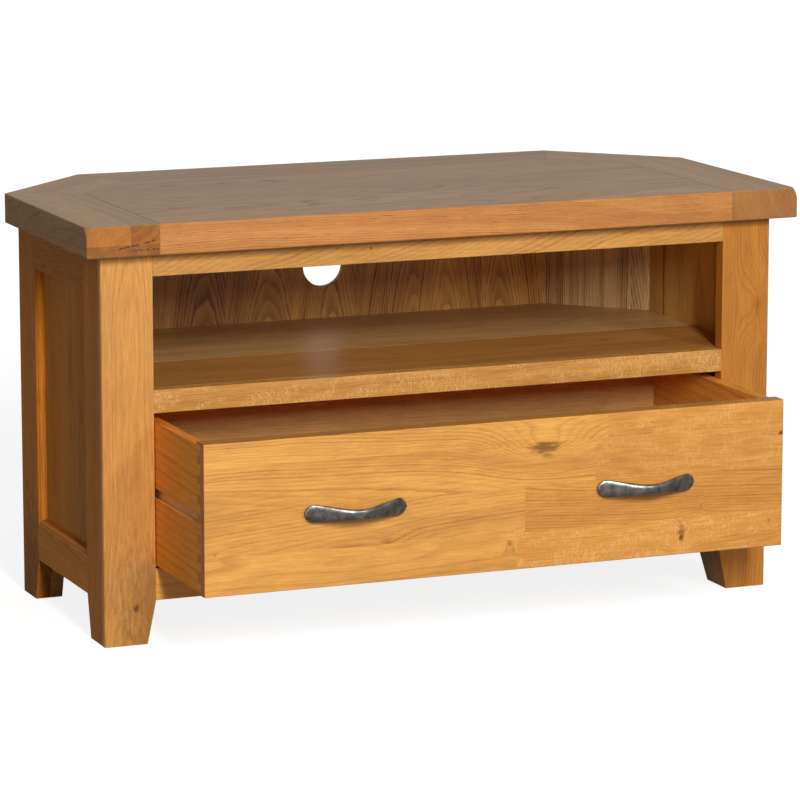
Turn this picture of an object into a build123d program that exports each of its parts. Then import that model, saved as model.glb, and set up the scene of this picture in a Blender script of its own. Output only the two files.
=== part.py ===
from build123d import *
import os
from math import sqrt

os.makedirs("parts", exist_ok=True)

# A corner media cabinet in oak, in millimetres.
# Working axes: X across the front, Y from the front of the legs to the back, Z up from the floor.

# Top
TOP_WIDTH = 1000.0
TOP_DEPTH = 500.0
TOP_CORNER_CLIP = 148.0
TOP_THICKNESS = 40.0
TOP_BORDER_WIDTH = 97.0
TOP_ARRIS_RADIUS = 2.0
TOP_CORNER_RADIUS = 19.0
SIDE_OVERHANG = 26.0
FRONT_OVERHANG = 28.0
TOTAL_HEIGHT = 550.0

# Frames of the carcass
FRAME_THICKNESS = 19.0
STILE_WIDTH = 70.0
STILE_REBATE = 10.0
LEG_ARRIS_RADIUS = 2.5
JOINT_ARRIS = 0.5
RAIL_UNDERSIDE_HEIGHT = 57.0
SIDE_TOP_RAIL_WIDTH = 53.0
SIDE_BOTTOM_RAIL_WIDTH = 50.0
FRONT_TOP_RAIL_WIDTH = 31.0
FRONT_BOTTOM_RAIL_WIDTH = 41.5
FRONT_FOOT_TAPER_X = 12.0
FRONT_FOOT_TAPER_Y = 13.0
REAR_FOOT_TAPER_Y = 17.0
REAR_FOOT_BLOCK_THICKNESS = 18.0
REAR_FOOT_BLOCK_WIDTH = 48.0
FOOT_BLOCK_HEIGHT = 92.0

# Recessed side panels and their bead
SIDE_PANEL_SETBACK = 10.0
SIDE_PANEL_REBATE = 8.0
SIDE_PANEL_END_GAP = 1.0
BEAD_WIDTH = 8.0
BEAD_HEIGHT = 9.5
BEAD_FLAT = 2.0
BEAD_STEP_WIDTH = 1.5
BEAD_STEP_HEIGHT = 1.5
BEAD_QUIRK = 1.0
BEAD_BULGE = 1.4

# Shelf
SHELF_LIP_HEIGHT = 30.0
SHELF_THICKNESS = 18.0
SHELF_LIP_UNDERSIDE = 302.0
SHELF_FRONT_BOARD_WIDTH = 177.0
SHELF_CLEAT_SIZE = 20.0
SHELF_CLEAT_FRONT_INSET = 20.0

# Back
BACK_FRAME_THICKNESS = 19.0
BACK_PANEL_THICKNESS = 8.0
BACK_POST_WING = 50.0
CABLE_HOLE_DIAMETER = 60.0
CABLE_HOLE_HEIGHT = 407.0

# Drawer
DRAWER_PULL = 185.0
DRAWER_SIDE_GAP = 1.0
DRAWER_TOP_GAP = 7.0
DRAWER_BOTTOM_GAP = 1.5
DRAWER_REAR_CLEARANCE = 8.0
DRAWER_FRONT_THICKNESS = 24.0
DRAWER_FRONT_ARRIS = 1.2
DRAWER_SIDE_THICKNESS = 14.0
DRAWER_SIDE_TOP_DROP = 3.5
DRAWER_SIDE_BOTTOM_RISE = 3.0
DRAWER_BACK_THICKNESS = 12.0
DRAWER_BACK_DADO = 3.0
DRAWER_BACK_TOP_DROP = 12.0
DRAWER_BOTTOM_THICKNESS = 6.0
DRAWER_BOTTOM_RISE = 10.0
DRAWER_BOTTOM_GROOVE = 6.0
DOVETAIL_LENGTH = 11.0
DOVETAIL_FLARE = 1.2
DOVETAIL_PINS = 7

# Runners
RUNNER_GROOVE_HEIGHT = 14.0
RUNNER_GROOVE_DEPTH = 6.0
RUNNER_GROOVE_STOP = 3.0
RUNNER_TOP_CLEARANCE = 0.3
RUNNER_BOTTOM_CLEARANCE = 0.9
RUNNER_TIP_CLEARANCE = 1.0
RUNNER_STOP_CLEARANCE = 0.5
BEARER_SIDE_CLEARANCE = 2.0
BEARER_HEIGHT = 30.0
BEARER_REAR_CLEARANCE = 6.0

# Bow handles
HANDLE_SPACING = 404.0
HANDLE_LENGTH = 138.0
HANDLE_PROJECTION = 28.0
HANDLE_BAND = 6.0
HANDLE_FOOT_LENGTH = 20.0
HANDLE_END_THICKNESS = 3.5
HANDLE_END_HEIGHT = 22.5
HANDLE_WAIST_HEIGHT = 12.0

# Fixing blocks under the top, and screws
BLOCK_SIZE = 25.0
BLOCK_LENGTH = 50.0
BLOCK_RAIL_INSET = 20.0
BLOCK_FRONT_SPACING = 400.0
SCREW_SHANK_DIAMETER = 4.0
SCREW_HEAD_DIAMETER = 8.0
SCREW_HEAD_HEIGHT = 2.5
SCREW_CLEARANCE = 0.15
SCREW_GRIP = 12.0
HANDLE_SCREW_GRIP = 6.0
RUNNER_SCREW_INSET = 32.0

# Worked-out places
TOP_HALF = TOP_WIDTH / 2
BODY_HALF = TOP_HALF - SIDE_OVERHANG
BODY_INNER = BODY_HALF - FRAME_THICKNESS
OPENING_HALF = BODY_HALF - STILE_WIDTH
BACK_Y = TOP_DEPTH - FRONT_OVERHANG
SIDE_END_Y = BACK_Y - TOP_CORNER_CLIP
TOP_UNDERSIDE = TOTAL_HEIGHT - TOP_THICKNESS
DIAGONAL_SUM = SIDE_END_Y + TOP_HALF
BODY_SIDE_DEPTH = DIAGONAL_SUM - BODY_HALF
REAR_STILE_Y = BODY_SIDE_DEPTH - STILE_WIDTH
SIDE_TOP_RAIL_Z = TOP_UNDERSIDE - SIDE_TOP_RAIL_WIDTH
SIDE_BOTTOM_RAIL_TOP = RAIL_UNDERSIDE_HEIGHT + SIDE_BOTTOM_RAIL_WIDTH
FRONT_TOP_RAIL_Z = TOP_UNDERSIDE - FRONT_TOP_RAIL_WIDTH
FRONT_BOTTOM_RAIL_TOP = RAIL_UNDERSIDE_HEIGHT + FRONT_BOTTOM_RAIL_WIDTH
SHELF_TOP = SHELF_LIP_UNDERSIDE + SHELF_LIP_HEIGHT
SHELF_UNDERSIDE = SHELF_TOP - SHELF_THICKNESS
SHELF_JOINT_Y = FRAME_THICKNESS + SHELF_FRONT_BOARD_WIDTH
BACK_SKIN = BACK_FRAME_THICKNESS + BACK_PANEL_THICKNESS

DRAWER_HALF = OPENING_HALF - DRAWER_SIDE_GAP
DRAWER_Z = FRONT_BOTTOM_RAIL_TOP + DRAWER_BOTTOM_GAP
DRAWER_TOP = SHELF_LIP_UNDERSIDE - DRAWER_TOP_GAP
DRAWER_SIDE_Z = DRAWER_Z + DRAWER_SIDE_BOTTOM_RISE
DRAWER_SIDE_TOP = DRAWER_TOP - DRAWER_SIDE_TOP_DROP
DRAWER_SIDE_INNER = DRAWER_HALF - DRAWER_SIDE_THICKNESS
DRAWER_BOTTOM_Z = DRAWER_SIDE_Z + DRAWER_BOTTOM_RISE
HANDLE_Z = (DRAWER_Z + DRAWER_TOP) / 2
GROOVE_Z = (DRAWER_SIDE_Z + DRAWER_SIDE_TOP - RUNNER_GROOVE_HEIGHT) / 2
GROOVE_TOP = GROOVE_Z + RUNNER_GROOVE_HEIGHT
GROOVE_START = DRAWER_FRONT_THICKNESS + RUNNER_GROOVE_STOP
BEARER_FACE = DRAWER_HALF + BEARER_SIDE_CLEARANCE
RUNNER_TIP = DRAWER_HALF - RUNNER_GROOVE_DEPTH + RUNNER_TIP_CLEARANCE
RUNNER_START = GROOVE_START + RUNNER_STOP_CLEARANCE
RUNNER_MIDDLE = (GROOVE_Z + GROOVE_TOP) / 2
HOLE_RADIUS = SCREW_SHANK_DIAMETER / 2 + SCREW_CLEARANCE

# The origin lies on the floor below the middle of the whole, with the drawer pulled out as at rest
FRONT_MOST_Y = -DRAWER_PULL - HANDLE_PROJECTION
CENTRE_Y = (FRONT_MOST_Y + BACK_Y) / 2


def diagonal_y(x, inset=0.0):
    """Depth of a line parallel to the 45 degree back edge, a given distance inside it."""
    return DIAGONAL_SUM - x - inset * sqrt(2)


def diagonal_x(y, inset=0.0):
    """Half width of that same line at a given depth."""
    return DIAGONAL_SUM - y - inset * sqrt(2)


DRAWER_DEPTH = diagonal_y(DRAWER_HALF, BACK_SKIN) - DRAWER_REAR_CLEARANCE
RUNNER_END = diagonal_y(BODY_INNER, BACK_SKIN) - BEARER_REAR_CLEARANCE


def block(x0, x1, y0, y1, z0, z1):
    """A square-edged board between two corners."""
    return Pos((x0 + x1) / 2, (y0 + y1) / 2, (z0 + z1) / 2) * Box(x1 - x0, y1 - y0, z1 - z0)


def board(x0, x1, y0, y1, z0, z1):
    """A board with its arrises just broken, so that its joints show as fine lines."""
    raw = block(x0, x1, y0, y1, z0, z1)
    return chamfer(raw.edges(), JOINT_ARRIS)


def prism(points, z0, z1):
    """An upright piece with the given plan."""
    return Pos(0, 0, z0) * extrude(Polygon(*points, align=None), z1 - z0, dir=(0, 0, 1))


def slab(points, z0, z1):
    """An upright piece with the given plan and broken arrises."""
    return chamfer(prism(points, z0, z1).edges(), JOINT_ARRIS)


def side_prism(points, x0, x1):
    """A piece with the given outline in the Y-Z plane, as thick as the two X values."""
    return Pos(x0, 0, 0) * extrude(Plane.YZ * Polygon(*points, align=None), x1 - x0, dir=(1, 0, 0))


def front_prism(points, y0, y1):
    """A piece with the given outline in the X-Z plane, as thick as the two Y values."""
    outline = Plane(origin=(0, y0, 0), x_dir=(1, 0, 0), z_dir=(0, -1, 0)) * Polygon(*points, align=None)
    return extrude(outline, y1 - y0, dir=(0, 1, 0))


def mirrored(shape):
    """The left-hand twin of a right-hand piece."""
    return mirror(shape, about=Plane.YZ)


def shaft(seat, direction, radius, length):
    """A round bar that starts at the seat."""
    bar = Cylinder(radius, length, align=(Align.CENTER, Align.CENTER, Align.MIN))
    return Plane(origin=seat, z_dir=direction) * bar


def screw(seat, direction, length):
    """A pan-head screw whose head sits on the seat and whose shank runs in the direction."""
    outward = tuple(-part for part in direction)
    head = shaft(seat, outward, SCREW_HEAD_DIAMETER / 2, SCREW_HEAD_HEIGHT)
    return shaft(seat, direction, SCREW_SHANK_DIAMETER / 2, length) + head


def screw_hole(seat, direction, length):
    """The clearance hole for that screw."""
    return shaft(seat, direction, HOLE_RADIUS, length + SCREW_CLEARANCE)


# Screws that hold the top to its fixing blocks and the blocks to the rails
def fixing_block_places():
    """Right-hand fixing blocks: two on the side rail and one on the front rail."""
    places = []
    for start in (STILE_WIDTH + BLOCK_RAIL_INSET, REAR_STILE_Y - BLOCK_RAIL_INSET - BLOCK_LENGTH):
        x_range = (BODY_INNER - BLOCK_SIZE, BODY_INNER)
        places.append((x_range, (start, start + BLOCK_LENGTH), (1, 0, 0)))
    x_range = ((BLOCK_FRONT_SPACING - BLOCK_LENGTH) / 2, (BLOCK_FRONT_SPACING + BLOCK_LENGTH) / 2)
    y_range = (FRAME_THICKNESS, FRAME_THICKNESS + BLOCK_SIZE)
    places.append((x_range, y_range, (0, -1, 0)))
    return places


def fixing_screw_seats(x_range, y_range, direction):
    """One screw up into the top and one sideways into the rail, clear of each other."""
    middle_x = sum(x_range) / 2
    middle_y = sum(y_range) / 2
    along = (BLOCK_LENGTH / 4) * Vector(abs(direction[1]), abs(direction[0]), 0)
    under = TOP_UNDERSIDE - BLOCK_SIZE
    middle_z = TOP_UNDERSIDE - BLOCK_SIZE / 2
    up_seat = Vector(middle_x, middle_y, under) + along
    back_face = Vector(middle_x, middle_y, middle_z) - Vector(*direction) * (BLOCK_SIZE / 2)
    side_seat = back_face - along
    return [(up_seat, (0, 0, 1)), (side_seat, direction)]


FIXING_SCREWS = [seat for place in fixing_block_places() for seat in fixing_screw_seats(*place)]
FIXING_SCREW_LENGTH = BLOCK_SIZE + SCREW_GRIP


def without_fixing_holes(shape):
    """Bore a right-hand piece for the screws of the fixing blocks."""
    for seat, direction in FIXING_SCREWS:
        shape = shape - screw_hole(seat, direction, FIXING_SCREW_LENGTH)
    return shape


# Top
def rounded_front_corner():
    """What is taken off the front outer corner, above, to leave a ball-shaped corner."""
    reach = TOP_CORNER_RADIUS
    y0 = -FRONT_OVERHANG
    cube = block(TOP_HALF - reach, TOP_HALF, y0, y0 + reach, TOTAL_HEIGHT - reach, TOTAL_HEIGHT)
    ball = Pos(TOP_HALF - reach, y0 + reach, TOTAL_HEIGHT - reach) * Sphere(reach * sqrt(2))
    return cube - ball


FRONT_Y = -FRONT_OVERHANG
INNER_EDGE = TOP_HALF - TOP_BORDER_WIDTH
INNER_BACK = BACK_Y - TOP_BORDER_WIDTH
SIDE_TURN = (TOP_HALF, SIDE_END_Y)
BACK_TURN = (diagonal_x(BACK_Y), BACK_Y)
SIDE_TURN_INNER = (INNER_EDGE, diagonal_y(INNER_EDGE, TOP_BORDER_WIDTH))
BACK_TURN_INNER = (diagonal_x(INNER_BACK, TOP_BORDER_WIDTH), INNER_BACK)


def flipped(point):
    """The same plan point on the left."""
    return (-point[0], point[1])


def top_blank():
    """The whole top before it is parted: outer arrises rounded and the front corners ball-shaped."""
    right = [(TOP_HALF, FRONT_Y), SIDE_TURN, BACK_TURN]
    outline = right + [flipped(point) for point in reversed(right)]
    blank = prism(outline, TOP_UNDERSIDE, TOTAL_HEIGHT)
    blank = fillet(blank.edges().filter_by(Plane.XY), TOP_ARRIS_RADIUS)
    return blank - rounded_front_corner() - mirrored(rounded_front_corner())


def joint_groove(first, last):
    """The fine V that the broken arrises of a joint leave along it."""
    run = Vector(*last) - Vector(*first)
    side = JOINT_ARRIS * sqrt(2)
    bar = Rot(0, 0, 45) * Box(side, side, run.length + 2 * side)
    across = (1, 0, 0) if run.Z else run.cross(Vector(0, 0, 1))
    return Plane(origin=(Vector(*first) + Vector(*last)) / 2, x_dir=across, z_dir=run) * bar


def right_joint_grooves():
    """Joint lines on the right half of the top, on its upper face and on its front edge."""
    def above(point):
        return (point[0], point[1], TOTAL_HEIGHT)

    front = (INNER_EDGE, FRONT_Y)
    lines = [(above(front), above(SIDE_TURN_INNER)), (above(SIDE_TURN_INNER), above(SIDE_TURN)),
             (above(SIDE_TURN_INNER), above(BACK_TURN_INNER)), (above(BACK_TURN_INNER), above(BACK_TURN)),
             ((*front, TOP_UNDERSIDE), above(front))]
    return [joint_groove(first, last) for first, last in lines]


def inner_back_groove():
    return joint_groove((*BACK_TURN_INNER, TOTAL_HEIGHT), (*flipped(BACK_TURN_INNER), TOTAL_HEIGHT))


def top_piece(outline):
    """The part of the top that lies over the given plan, with its joints broken."""
    piece = top_blank() & prism(outline, TOP_UNDERSIDE, TOTAL_HEIGHT)
    for groove in right_joint_grooves():
        piece = piece - groove - mirrored(groove)
    return piece - inner_back_groove()


def top_end():
    outline = [(INNER_EDGE, FRONT_Y), (TOP_HALF, FRONT_Y), SIDE_TURN, SIDE_TURN_INNER]
    return without_fixing_holes(top_piece(outline))


def top_diagonal():
    return top_piece([SIDE_TURN, BACK_TURN, BACK_TURN_INNER, SIDE_TURN_INNER])


def top_back_border():
    return top_piece([BACK_TURN, flipped(BACK_TURN), flipped(BACK_TURN_INNER), BACK_TURN_INNER])


def top_panel():
    right = [(INNER_EDGE, FRONT_Y), SIDE_TURN_INNER, BACK_TURN_INNER]
    outline = right + [flipped(point) for point in reversed(right)]
    bored = without_fixing_holes(top_piece(outline))
    return mirrored(without_fixing_holes(mirrored(bored)))


# Legs and side frames, built on the right
def side_panel_rebate(end_gap):
    """The room that the side panel's edges take in the frame around it, flush with it inside."""
    reach = SIDE_PANEL_REBATE - end_gap
    return block(BODY_INNER, BODY_HALF - SIDE_PANEL_SETBACK, STILE_WIDTH - reach, REAR_STILE_Y + reach,
                 SIDE_BOTTOM_RAIL_TOP - reach, SIDE_TOP_RAIL_Z + reach)


def front_foot_taper():
    """What tapers the front foot on its two inner faces, below the rails."""
    inner_x = OPENING_HALF
    slim_x = OPENING_HALF + FRONT_FOOT_TAPER_X
    slim_y = STILE_WIDTH - FRONT_FOOT_TAPER_Y
    across = front_prism([(inner_x, RAIL_UNDERSIDE_HEIGHT), (inner_x, 0), (slim_x, 0)], 0, STILE_WIDTH)
    along = side_prism([(STILE_WIDTH, RAIL_UNDERSIDE_HEIGHT), (STILE_WIDTH, 0), (slim_y, 0)],
                       OPENING_HALF, BODY_HALF)
    return across + along


def rear_foot_taper():
    """What tapers the rear foot on its front face, below the rails."""
    slim_y = REAR_STILE_Y + REAR_FOOT_TAPER_Y
    return side_prism([(REAR_STILE_Y, RAIL_UNDERSIDE_HEIGHT), (REAR_STILE_Y, 0), (slim_y, 0)],
                      BODY_INNER - REAR_FOOT_BLOCK_THICKNESS, BODY_HALF)


def front_stile():
    outline = [(OPENING_HALF, 0), (BODY_HALF, 0), (BODY_HALF, STILE_REBATE), (BODY_INNER, STILE_REBATE),
               (BODY_INNER, FRAME_THICKNESS), (OPENING_HALF, FRAME_THICKNESS)]
    piece = prism(outline, 0, TOP_UNDERSIDE)
    corner = [e for e in piece.edges().filter_by(Axis.Z)
              if e.center().X > BODY_HALF - JOINT_ARRIS and e.center().Y < JOINT_ARRIS]
    piece = fillet(corner, LEG_ARRIS_RADIUS)
    show = [e for e in piece.edges().filter_by(Axis.Z)
            if (e.center().X > BODY_HALF - JOINT_ARRIS and e.center().Y > STILE_REBATE - JOINT_ARRIS)
            or (e.center().X < OPENING_HALF + JOINT_ARRIS and e.center().Y < JOINT_ARRIS)]
    return chamfer(show, JOINT_ARRIS) - front_foot_taper()


def side_front_stile():
    piece = board(BODY_INNER, BODY_HALF, STILE_REBATE, STILE_WIDTH, 0, TOP_UNDERSIDE)
    return piece - side_panel_rebate(0) - front_foot_taper()


def side_rear_stile():
    outline = [(BODY_INNER, REAR_STILE_Y), (BODY_HALF, REAR_STILE_Y), (BODY_HALF, BODY_SIDE_DEPTH),
               (BODY_INNER, diagonal_y(BODY_INNER))]
    return slab(outline, 0, TOP_UNDERSIDE) - side_panel_rebate(0) - rear_foot_taper()


def side_top_rail():
    piece = board(BODY_INNER, BODY_HALF, STILE_WIDTH, REAR_STILE_Y, SIDE_TOP_RAIL_Z, TOP_UNDERSIDE)
    return without_fixing_holes(piece - side_panel_rebate(0))


def side_bottom_rail():
    piece = board(BODY_INNER, BODY_HALF, STILE_WIDTH, REAR_STILE_Y,
                  RAIL_UNDERSIDE_HEIGHT, SIDE_BOTTOM_RAIL_TOP)
    return piece - side_panel_rebate(0)


def side_panel():
    return side_panel_rebate(SIDE_PANEL_END_GAP)


def bead_length(length):
    """One mitred length of bead along X, its back on Z = 0 and its frame edge on Y = 0."""
    crown = BEAD_HEIGHT - BEAD_QUIRK
    shoulder = BEAD_WIDTH - BEAD_STEP_WIDTH
    middle = ((BEAD_FLAT + shoulder) / 2 + BEAD_BULGE, (crown + BEAD_STEP_HEIGHT) / 2 + BEAD_BULGE / 2)
    straight = Polyline((BEAD_FLAT, crown), (BEAD_FLAT, BEAD_HEIGHT), (0, BEAD_HEIGHT), (0, 0),
                        (BEAD_WIDTH, 0), (BEAD_WIDTH, BEAD_STEP_HEIGHT), (shoulder, BEAD_STEP_HEIGHT))
    ovolo = ThreePointArc((shoulder, BEAD_STEP_HEIGHT), middle, (BEAD_FLAT, crown))
    profile = Plane.YZ * make_face([straight, ovolo])
    strip = Pos(-length / 2, 0, 0) * extrude(profile, length, dir=(1, 0, 0))
    half = length / 2
    plan = [(-half, 0), (half, 0), (half - BEAD_WIDTH, BEAD_WIDTH), (BEAD_WIDTH - half, BEAD_WIDTH)]
    return strip & prism(plan, 0, BEAD_HEIGHT)


def side_bead():
    """Four mitred lengths around the recess, planted on the side panel's face."""
    run = REAR_STILE_Y - STILE_WIDTH
    rise = SIDE_TOP_RAIL_Z - SIDE_BOTTOM_RAIL_TOP
    middle = Vector(BODY_HALF - SIDE_PANEL_SETBACK, (STILE_WIDTH + REAR_STILE_Y) / 2,
                    (SIDE_BOTTOM_RAIL_TOP + SIDE_TOP_RAIL_Z) / 2)
    face = Plane(origin=middle, x_dir=(0, 1, 0), z_dir=(1, 0, 0))
    lengths = []
    for turn, length, reach in ((0, run, rise), (90, rise, run), (180, run, rise), (270, rise, run)):
        lengths.append(face * Rot(0, 0, turn) * Pos(0, -reach / 2, 0) * bead_length(length))
    return Compound(lengths)


def front_foot_block():
    piece = block(OPENING_HALF, BODY_INNER, FRAME_THICKNESS, STILE_WIDTH, 0, FOOT_BLOCK_HEIGHT)
    return piece - front_foot_taper()


def rear_foot_block():
    piece = block(BODY_INNER - REAR_FOOT_BLOCK_THICKNESS, BODY_INNER, REAR_STILE_Y,
                  REAR_STILE_Y + REAR_FOOT_BLOCK_WIDTH, 0, FOOT_BLOCK_HEIGHT)
    return piece - rear_foot_taper()


# Front rails and shelf
def front_rail(z0, z1):
    return board(-OPENING_HALF, OPENING_HALF, 0, FRAME_THICKNESS, z0, z1)


def front_top_rail():
    piece = without_fixing_holes(front_rail(FRONT_TOP_RAIL_Z, TOP_UNDERSIDE))
    return mirrored(without_fixing_holes(mirrored(piece)))


def shelf_front_board():
    return board(-BODY_INNER, BODY_INNER, FRAME_THICKNESS, SHELF_JOINT_Y, SHELF_UNDERSIDE, SHELF_TOP)


def shelf_rear_board():
    rear = BACK_Y - BACK_SKIN
    right = [(BODY_INNER, SHELF_JOINT_Y), (BODY_INNER, diagonal_y(BODY_INNER, BACK_SKIN)),
             (diagonal_x(rear, BACK_SKIN), rear)]
    outline = right + [flipped(point) for point in reversed(right)]
    return slab(outline, SHELF_UNDERSIDE, SHELF_TOP)


def shelf_cleat():
    return board(BODY_INNER - SHELF_CLEAT_SIZE, BODY_INNER, STILE_WIDTH + SHELF_CLEAT_FRONT_INSET,
                 REAR_STILE_Y, SHELF_UNDERSIDE - SHELF_CLEAT_SIZE, SHELF_UNDERSIDE)


# Back
def back_panel():
    inner = BACK_Y - BACK_SKIN
    outer = BACK_Y - BACK_FRAME_THICKNESS
    right = [(diagonal_x(inner, BACK_SKIN), inner), (diagonal_x(outer, BACK_FRAME_THICKNESS), outer)]
    outline = right + [flipped(point) for point in reversed(right)]
    hole = shaft((0, inner, CABLE_HOLE_HEIGHT), (0, 1, 0), CABLE_HOLE_DIAMETER / 2, BACK_PANEL_THICKNESS)
    return prism(outline, RAIL_UNDERSIDE_HEIGHT, TOP_UNDERSIDE) - hole


def diagonal_panel():
    inner = BACK_Y - BACK_SKIN
    outer = BACK_Y - BACK_FRAME_THICKNESS
    outline = [(diagonal_x(inner, BACK_SKIN), inner), (diagonal_x(outer, BACK_FRAME_THICKNESS), outer),
               (BODY_INNER, diagonal_y(BODY_INNER, BACK_FRAME_THICKNESS)),
               (BODY_INNER, diagonal_y(BODY_INNER, BACK_SKIN))]
    return prism(outline, RAIL_UNDERSIDE_HEIGHT, TOP_UNDERSIDE)


def post_wing_end():
    """Outer and inner plan points where a back post's wing ends on the diagonal."""
    step = BACK_POST_WING / sqrt(2)
    inward = BACK_FRAME_THICKNESS / sqrt(2)
    outer = (BACK_TURN[0] + step, BACK_TURN[1] - step)
    return outer, (outer[0] - inward, outer[1] - inward)


def back_post():
    wing_outer, wing_inner = post_wing_end()
    inner = BACK_Y - BACK_FRAME_THICKNESS
    start = BACK_TURN[0] - BACK_POST_WING
    bend = diagonal_x(inner, BACK_FRAME_THICKNESS)
    outline = [(start, inner), (bend, inner), wing_inner, wing_outer, BACK_TURN, (start, BACK_Y)]
    piece = prism(outline, 0, TOP_UNDERSIDE)
    upright = piece.edges().filter_by(Axis.Z)
    convex = [e for e in upright if abs(e.center().X - bend) > JOINT_ARRIS or e.center().Y > inner + JOINT_ARRIS]
    return chamfer(convex, JOINT_ARRIS)


def back_rail(z0, z1):
    reach = BACK_TURN[0] - BACK_POST_WING
    return board(-reach, reach, BACK_Y - BACK_FRAME_THICKNESS, BACK_Y, z0, z1)


def diagonal_rail(z0, z1):
    wing_outer, wing_inner = post_wing_end()
    outline = [wing_outer, wing_inner, (BODY_INNER, diagonal_y(BODY_INNER, BACK_FRAME_THICKNESS)),
               (BODY_INNER, diagonal_y(BODY_INNER))]
    return slab(outline, z0, z1)


# Runners, on the right
def runner_screw_seats():
    """Screws through the runner into its bearer, heads let into the runner's inner face."""
    first = RUNNER_START + RUNNER_SCREW_INSET
    last = RUNNER_END - RUNNER_SCREW_INSET
    return [((RUNNER_TIP + SCREW_HEAD_HEIGHT, station, RUNNER_MIDDLE), (1, 0, 0))
            for station in (first, (first + last) / 2, last)]


def runner_screw_length():
    return BEARER_FACE - RUNNER_TIP - SCREW_HEAD_HEIGHT + SCREW_GRIP


def runner_bearer():
    piece = board(BEARER_FACE, BODY_INNER, FRAME_THICKNESS, RUNNER_END,
                  RUNNER_MIDDLE - BEARER_HEIGHT / 2, RUNNER_MIDDLE + BEARER_HEIGHT / 2)
    for seat, direction in runner_screw_seats():
        piece = piece - screw_hole(seat, direction, runner_screw_length())
    return piece


def runner():
    piece = board(RUNNER_TIP, BEARER_FACE, RUNNER_START, RUNNER_END,
                  GROOVE_Z + RUNNER_BOTTOM_CLEARANCE, GROOVE_TOP - RUNNER_TOP_CLEARANCE)
    for seat, direction in runner_screw_seats():
        piece = piece - screw_hole(seat, direction, runner_screw_length())
        recess_seat = (RUNNER_TIP, seat[1], seat[2])
        piece = piece - shaft(recess_seat, direction, SCREW_HEAD_DIAMETER / 2 + SCREW_CLEARANCE,
                              SCREW_HEAD_HEIGHT)
    return piece


def runner_screws():
    return [screw(seat, direction, runner_screw_length()) for seat, direction in runner_screw_seats()]


# Fixing blocks and their screws, on the right
def fixing_blocks():
    blocks = []
    for x_range, y_range, direction in fixing_block_places():
        piece = board(*x_range, *y_range, TOP_UNDERSIDE - BLOCK_SIZE, TOP_UNDERSIDE)
        blocks.append(without_fixing_holes(piece))
    return blocks


def fixing_screws():
    return [screw(seat, direction, FIXING_SCREW_LENGTH) for seat, direction in FIXING_SCREWS]


# Drawer, built closed with its front flush with the legs
def dovetail_tails():
    """The tails on the front end of the right-hand drawer side, with pins left between them."""
    parts = 2 * DOVETAIL_PINS + 1
    step = (DRAWER_SIDE_TOP - DRAWER_SIDE_Z) / parts
    root = DRAWER_FRONT_THICKNESS
    tip = root - DOVETAIL_LENGTH
    tails = []
    for index in range(0, parts, 2):
        z0 = DRAWER_SIDE_Z + index * step
        z1 = z0 + step
        low = z0 if index == 0 else z0 - DOVETAIL_FLARE
        high = z1 if index == parts - 1 else z1 + DOVETAIL_FLARE
        tails.append(side_prism([(root, z0), (root, z1), (tip, high), (tip, low)],
                                DRAWER_SIDE_INNER, DRAWER_HALF))
    return tails


def drawer_bottom():
    reach = DRAWER_SIDE_INNER + DRAWER_BOTTOM_GROOVE
    return block(-reach, reach, DRAWER_FRONT_THICKNESS - DRAWER_BOTTOM_GROOVE, DRAWER_DEPTH,
                 DRAWER_BOTTOM_Z, DRAWER_BOTTOM_Z + DRAWER_BOTTOM_THICKNESS)


def drawer_back():
    reach = DRAWER_SIDE_INNER + DRAWER_BACK_DADO
    return block(-reach, reach, DRAWER_DEPTH - DRAWER_BACK_THICKNESS, DRAWER_DEPTH,
                 DRAWER_BOTTOM_Z + DRAWER_BOTTOM_THICKNESS, DRAWER_SIDE_TOP - DRAWER_BACK_TOP_DROP)


def drawer_side():
    piece = block(DRAWER_SIDE_INNER, DRAWER_HALF, DRAWER_FRONT_THICKNESS, DRAWER_DEPTH,
                  DRAWER_SIDE_Z, DRAWER_SIDE_TOP)
    upper = [e for e in piece.edges().filter_by(Axis.Y) if e.center().Z > DRAWER_SIDE_TOP - JOINT_ARRIS]
    piece = fillet(upper, DRAWER_FRONT_ARRIS)
    for tail in dovetail_tails():
        piece = piece + tail
    groove = block(DRAWER_HALF - RUNNER_GROOVE_DEPTH, DRAWER_HALF, GROOVE_START, DRAWER_DEPTH,
                   GROOVE_Z, GROOVE_TOP)
    return piece - groove - drawer_bottom() - drawer_back()


def handle_centres():
    return (-HANDLE_SPACING / 2, HANDLE_SPACING / 2)


def handle_screw_seats():
    """Screws from inside the drawer into the feet of the handles."""
    reach = (HANDLE_LENGTH - HANDLE_FOOT_LENGTH) / 2
    return [((centre + side * reach, DRAWER_FRONT_THICKNESS, HANDLE_Z), (0, -1, 0))
            for centre in handle_centres() for side in (-1, 1)]


HANDLE_SCREW_LENGTH = DRAWER_FRONT_THICKNESS + HANDLE_SCREW_GRIP


def drawer_front():
    piece = block(-DRAWER_HALF, DRAWER_HALF, 0, DRAWER_FRONT_THICKNESS, DRAWER_Z, DRAWER_TOP)
    face_edges = piece.faces().sort_by(Axis.Y)[0].edges()
    piece = fillet(face_edges, DRAWER_FRONT_ARRIS)
    for tail in dovetail_tails():
        piece = piece - tail - mirrored(tail)
    for seat, direction in handle_screw_seats():
        piece = piece - screw_hole(seat, direction, HANDLE_SCREW_LENGTH)
    return piece - drawer_bottom()


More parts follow.
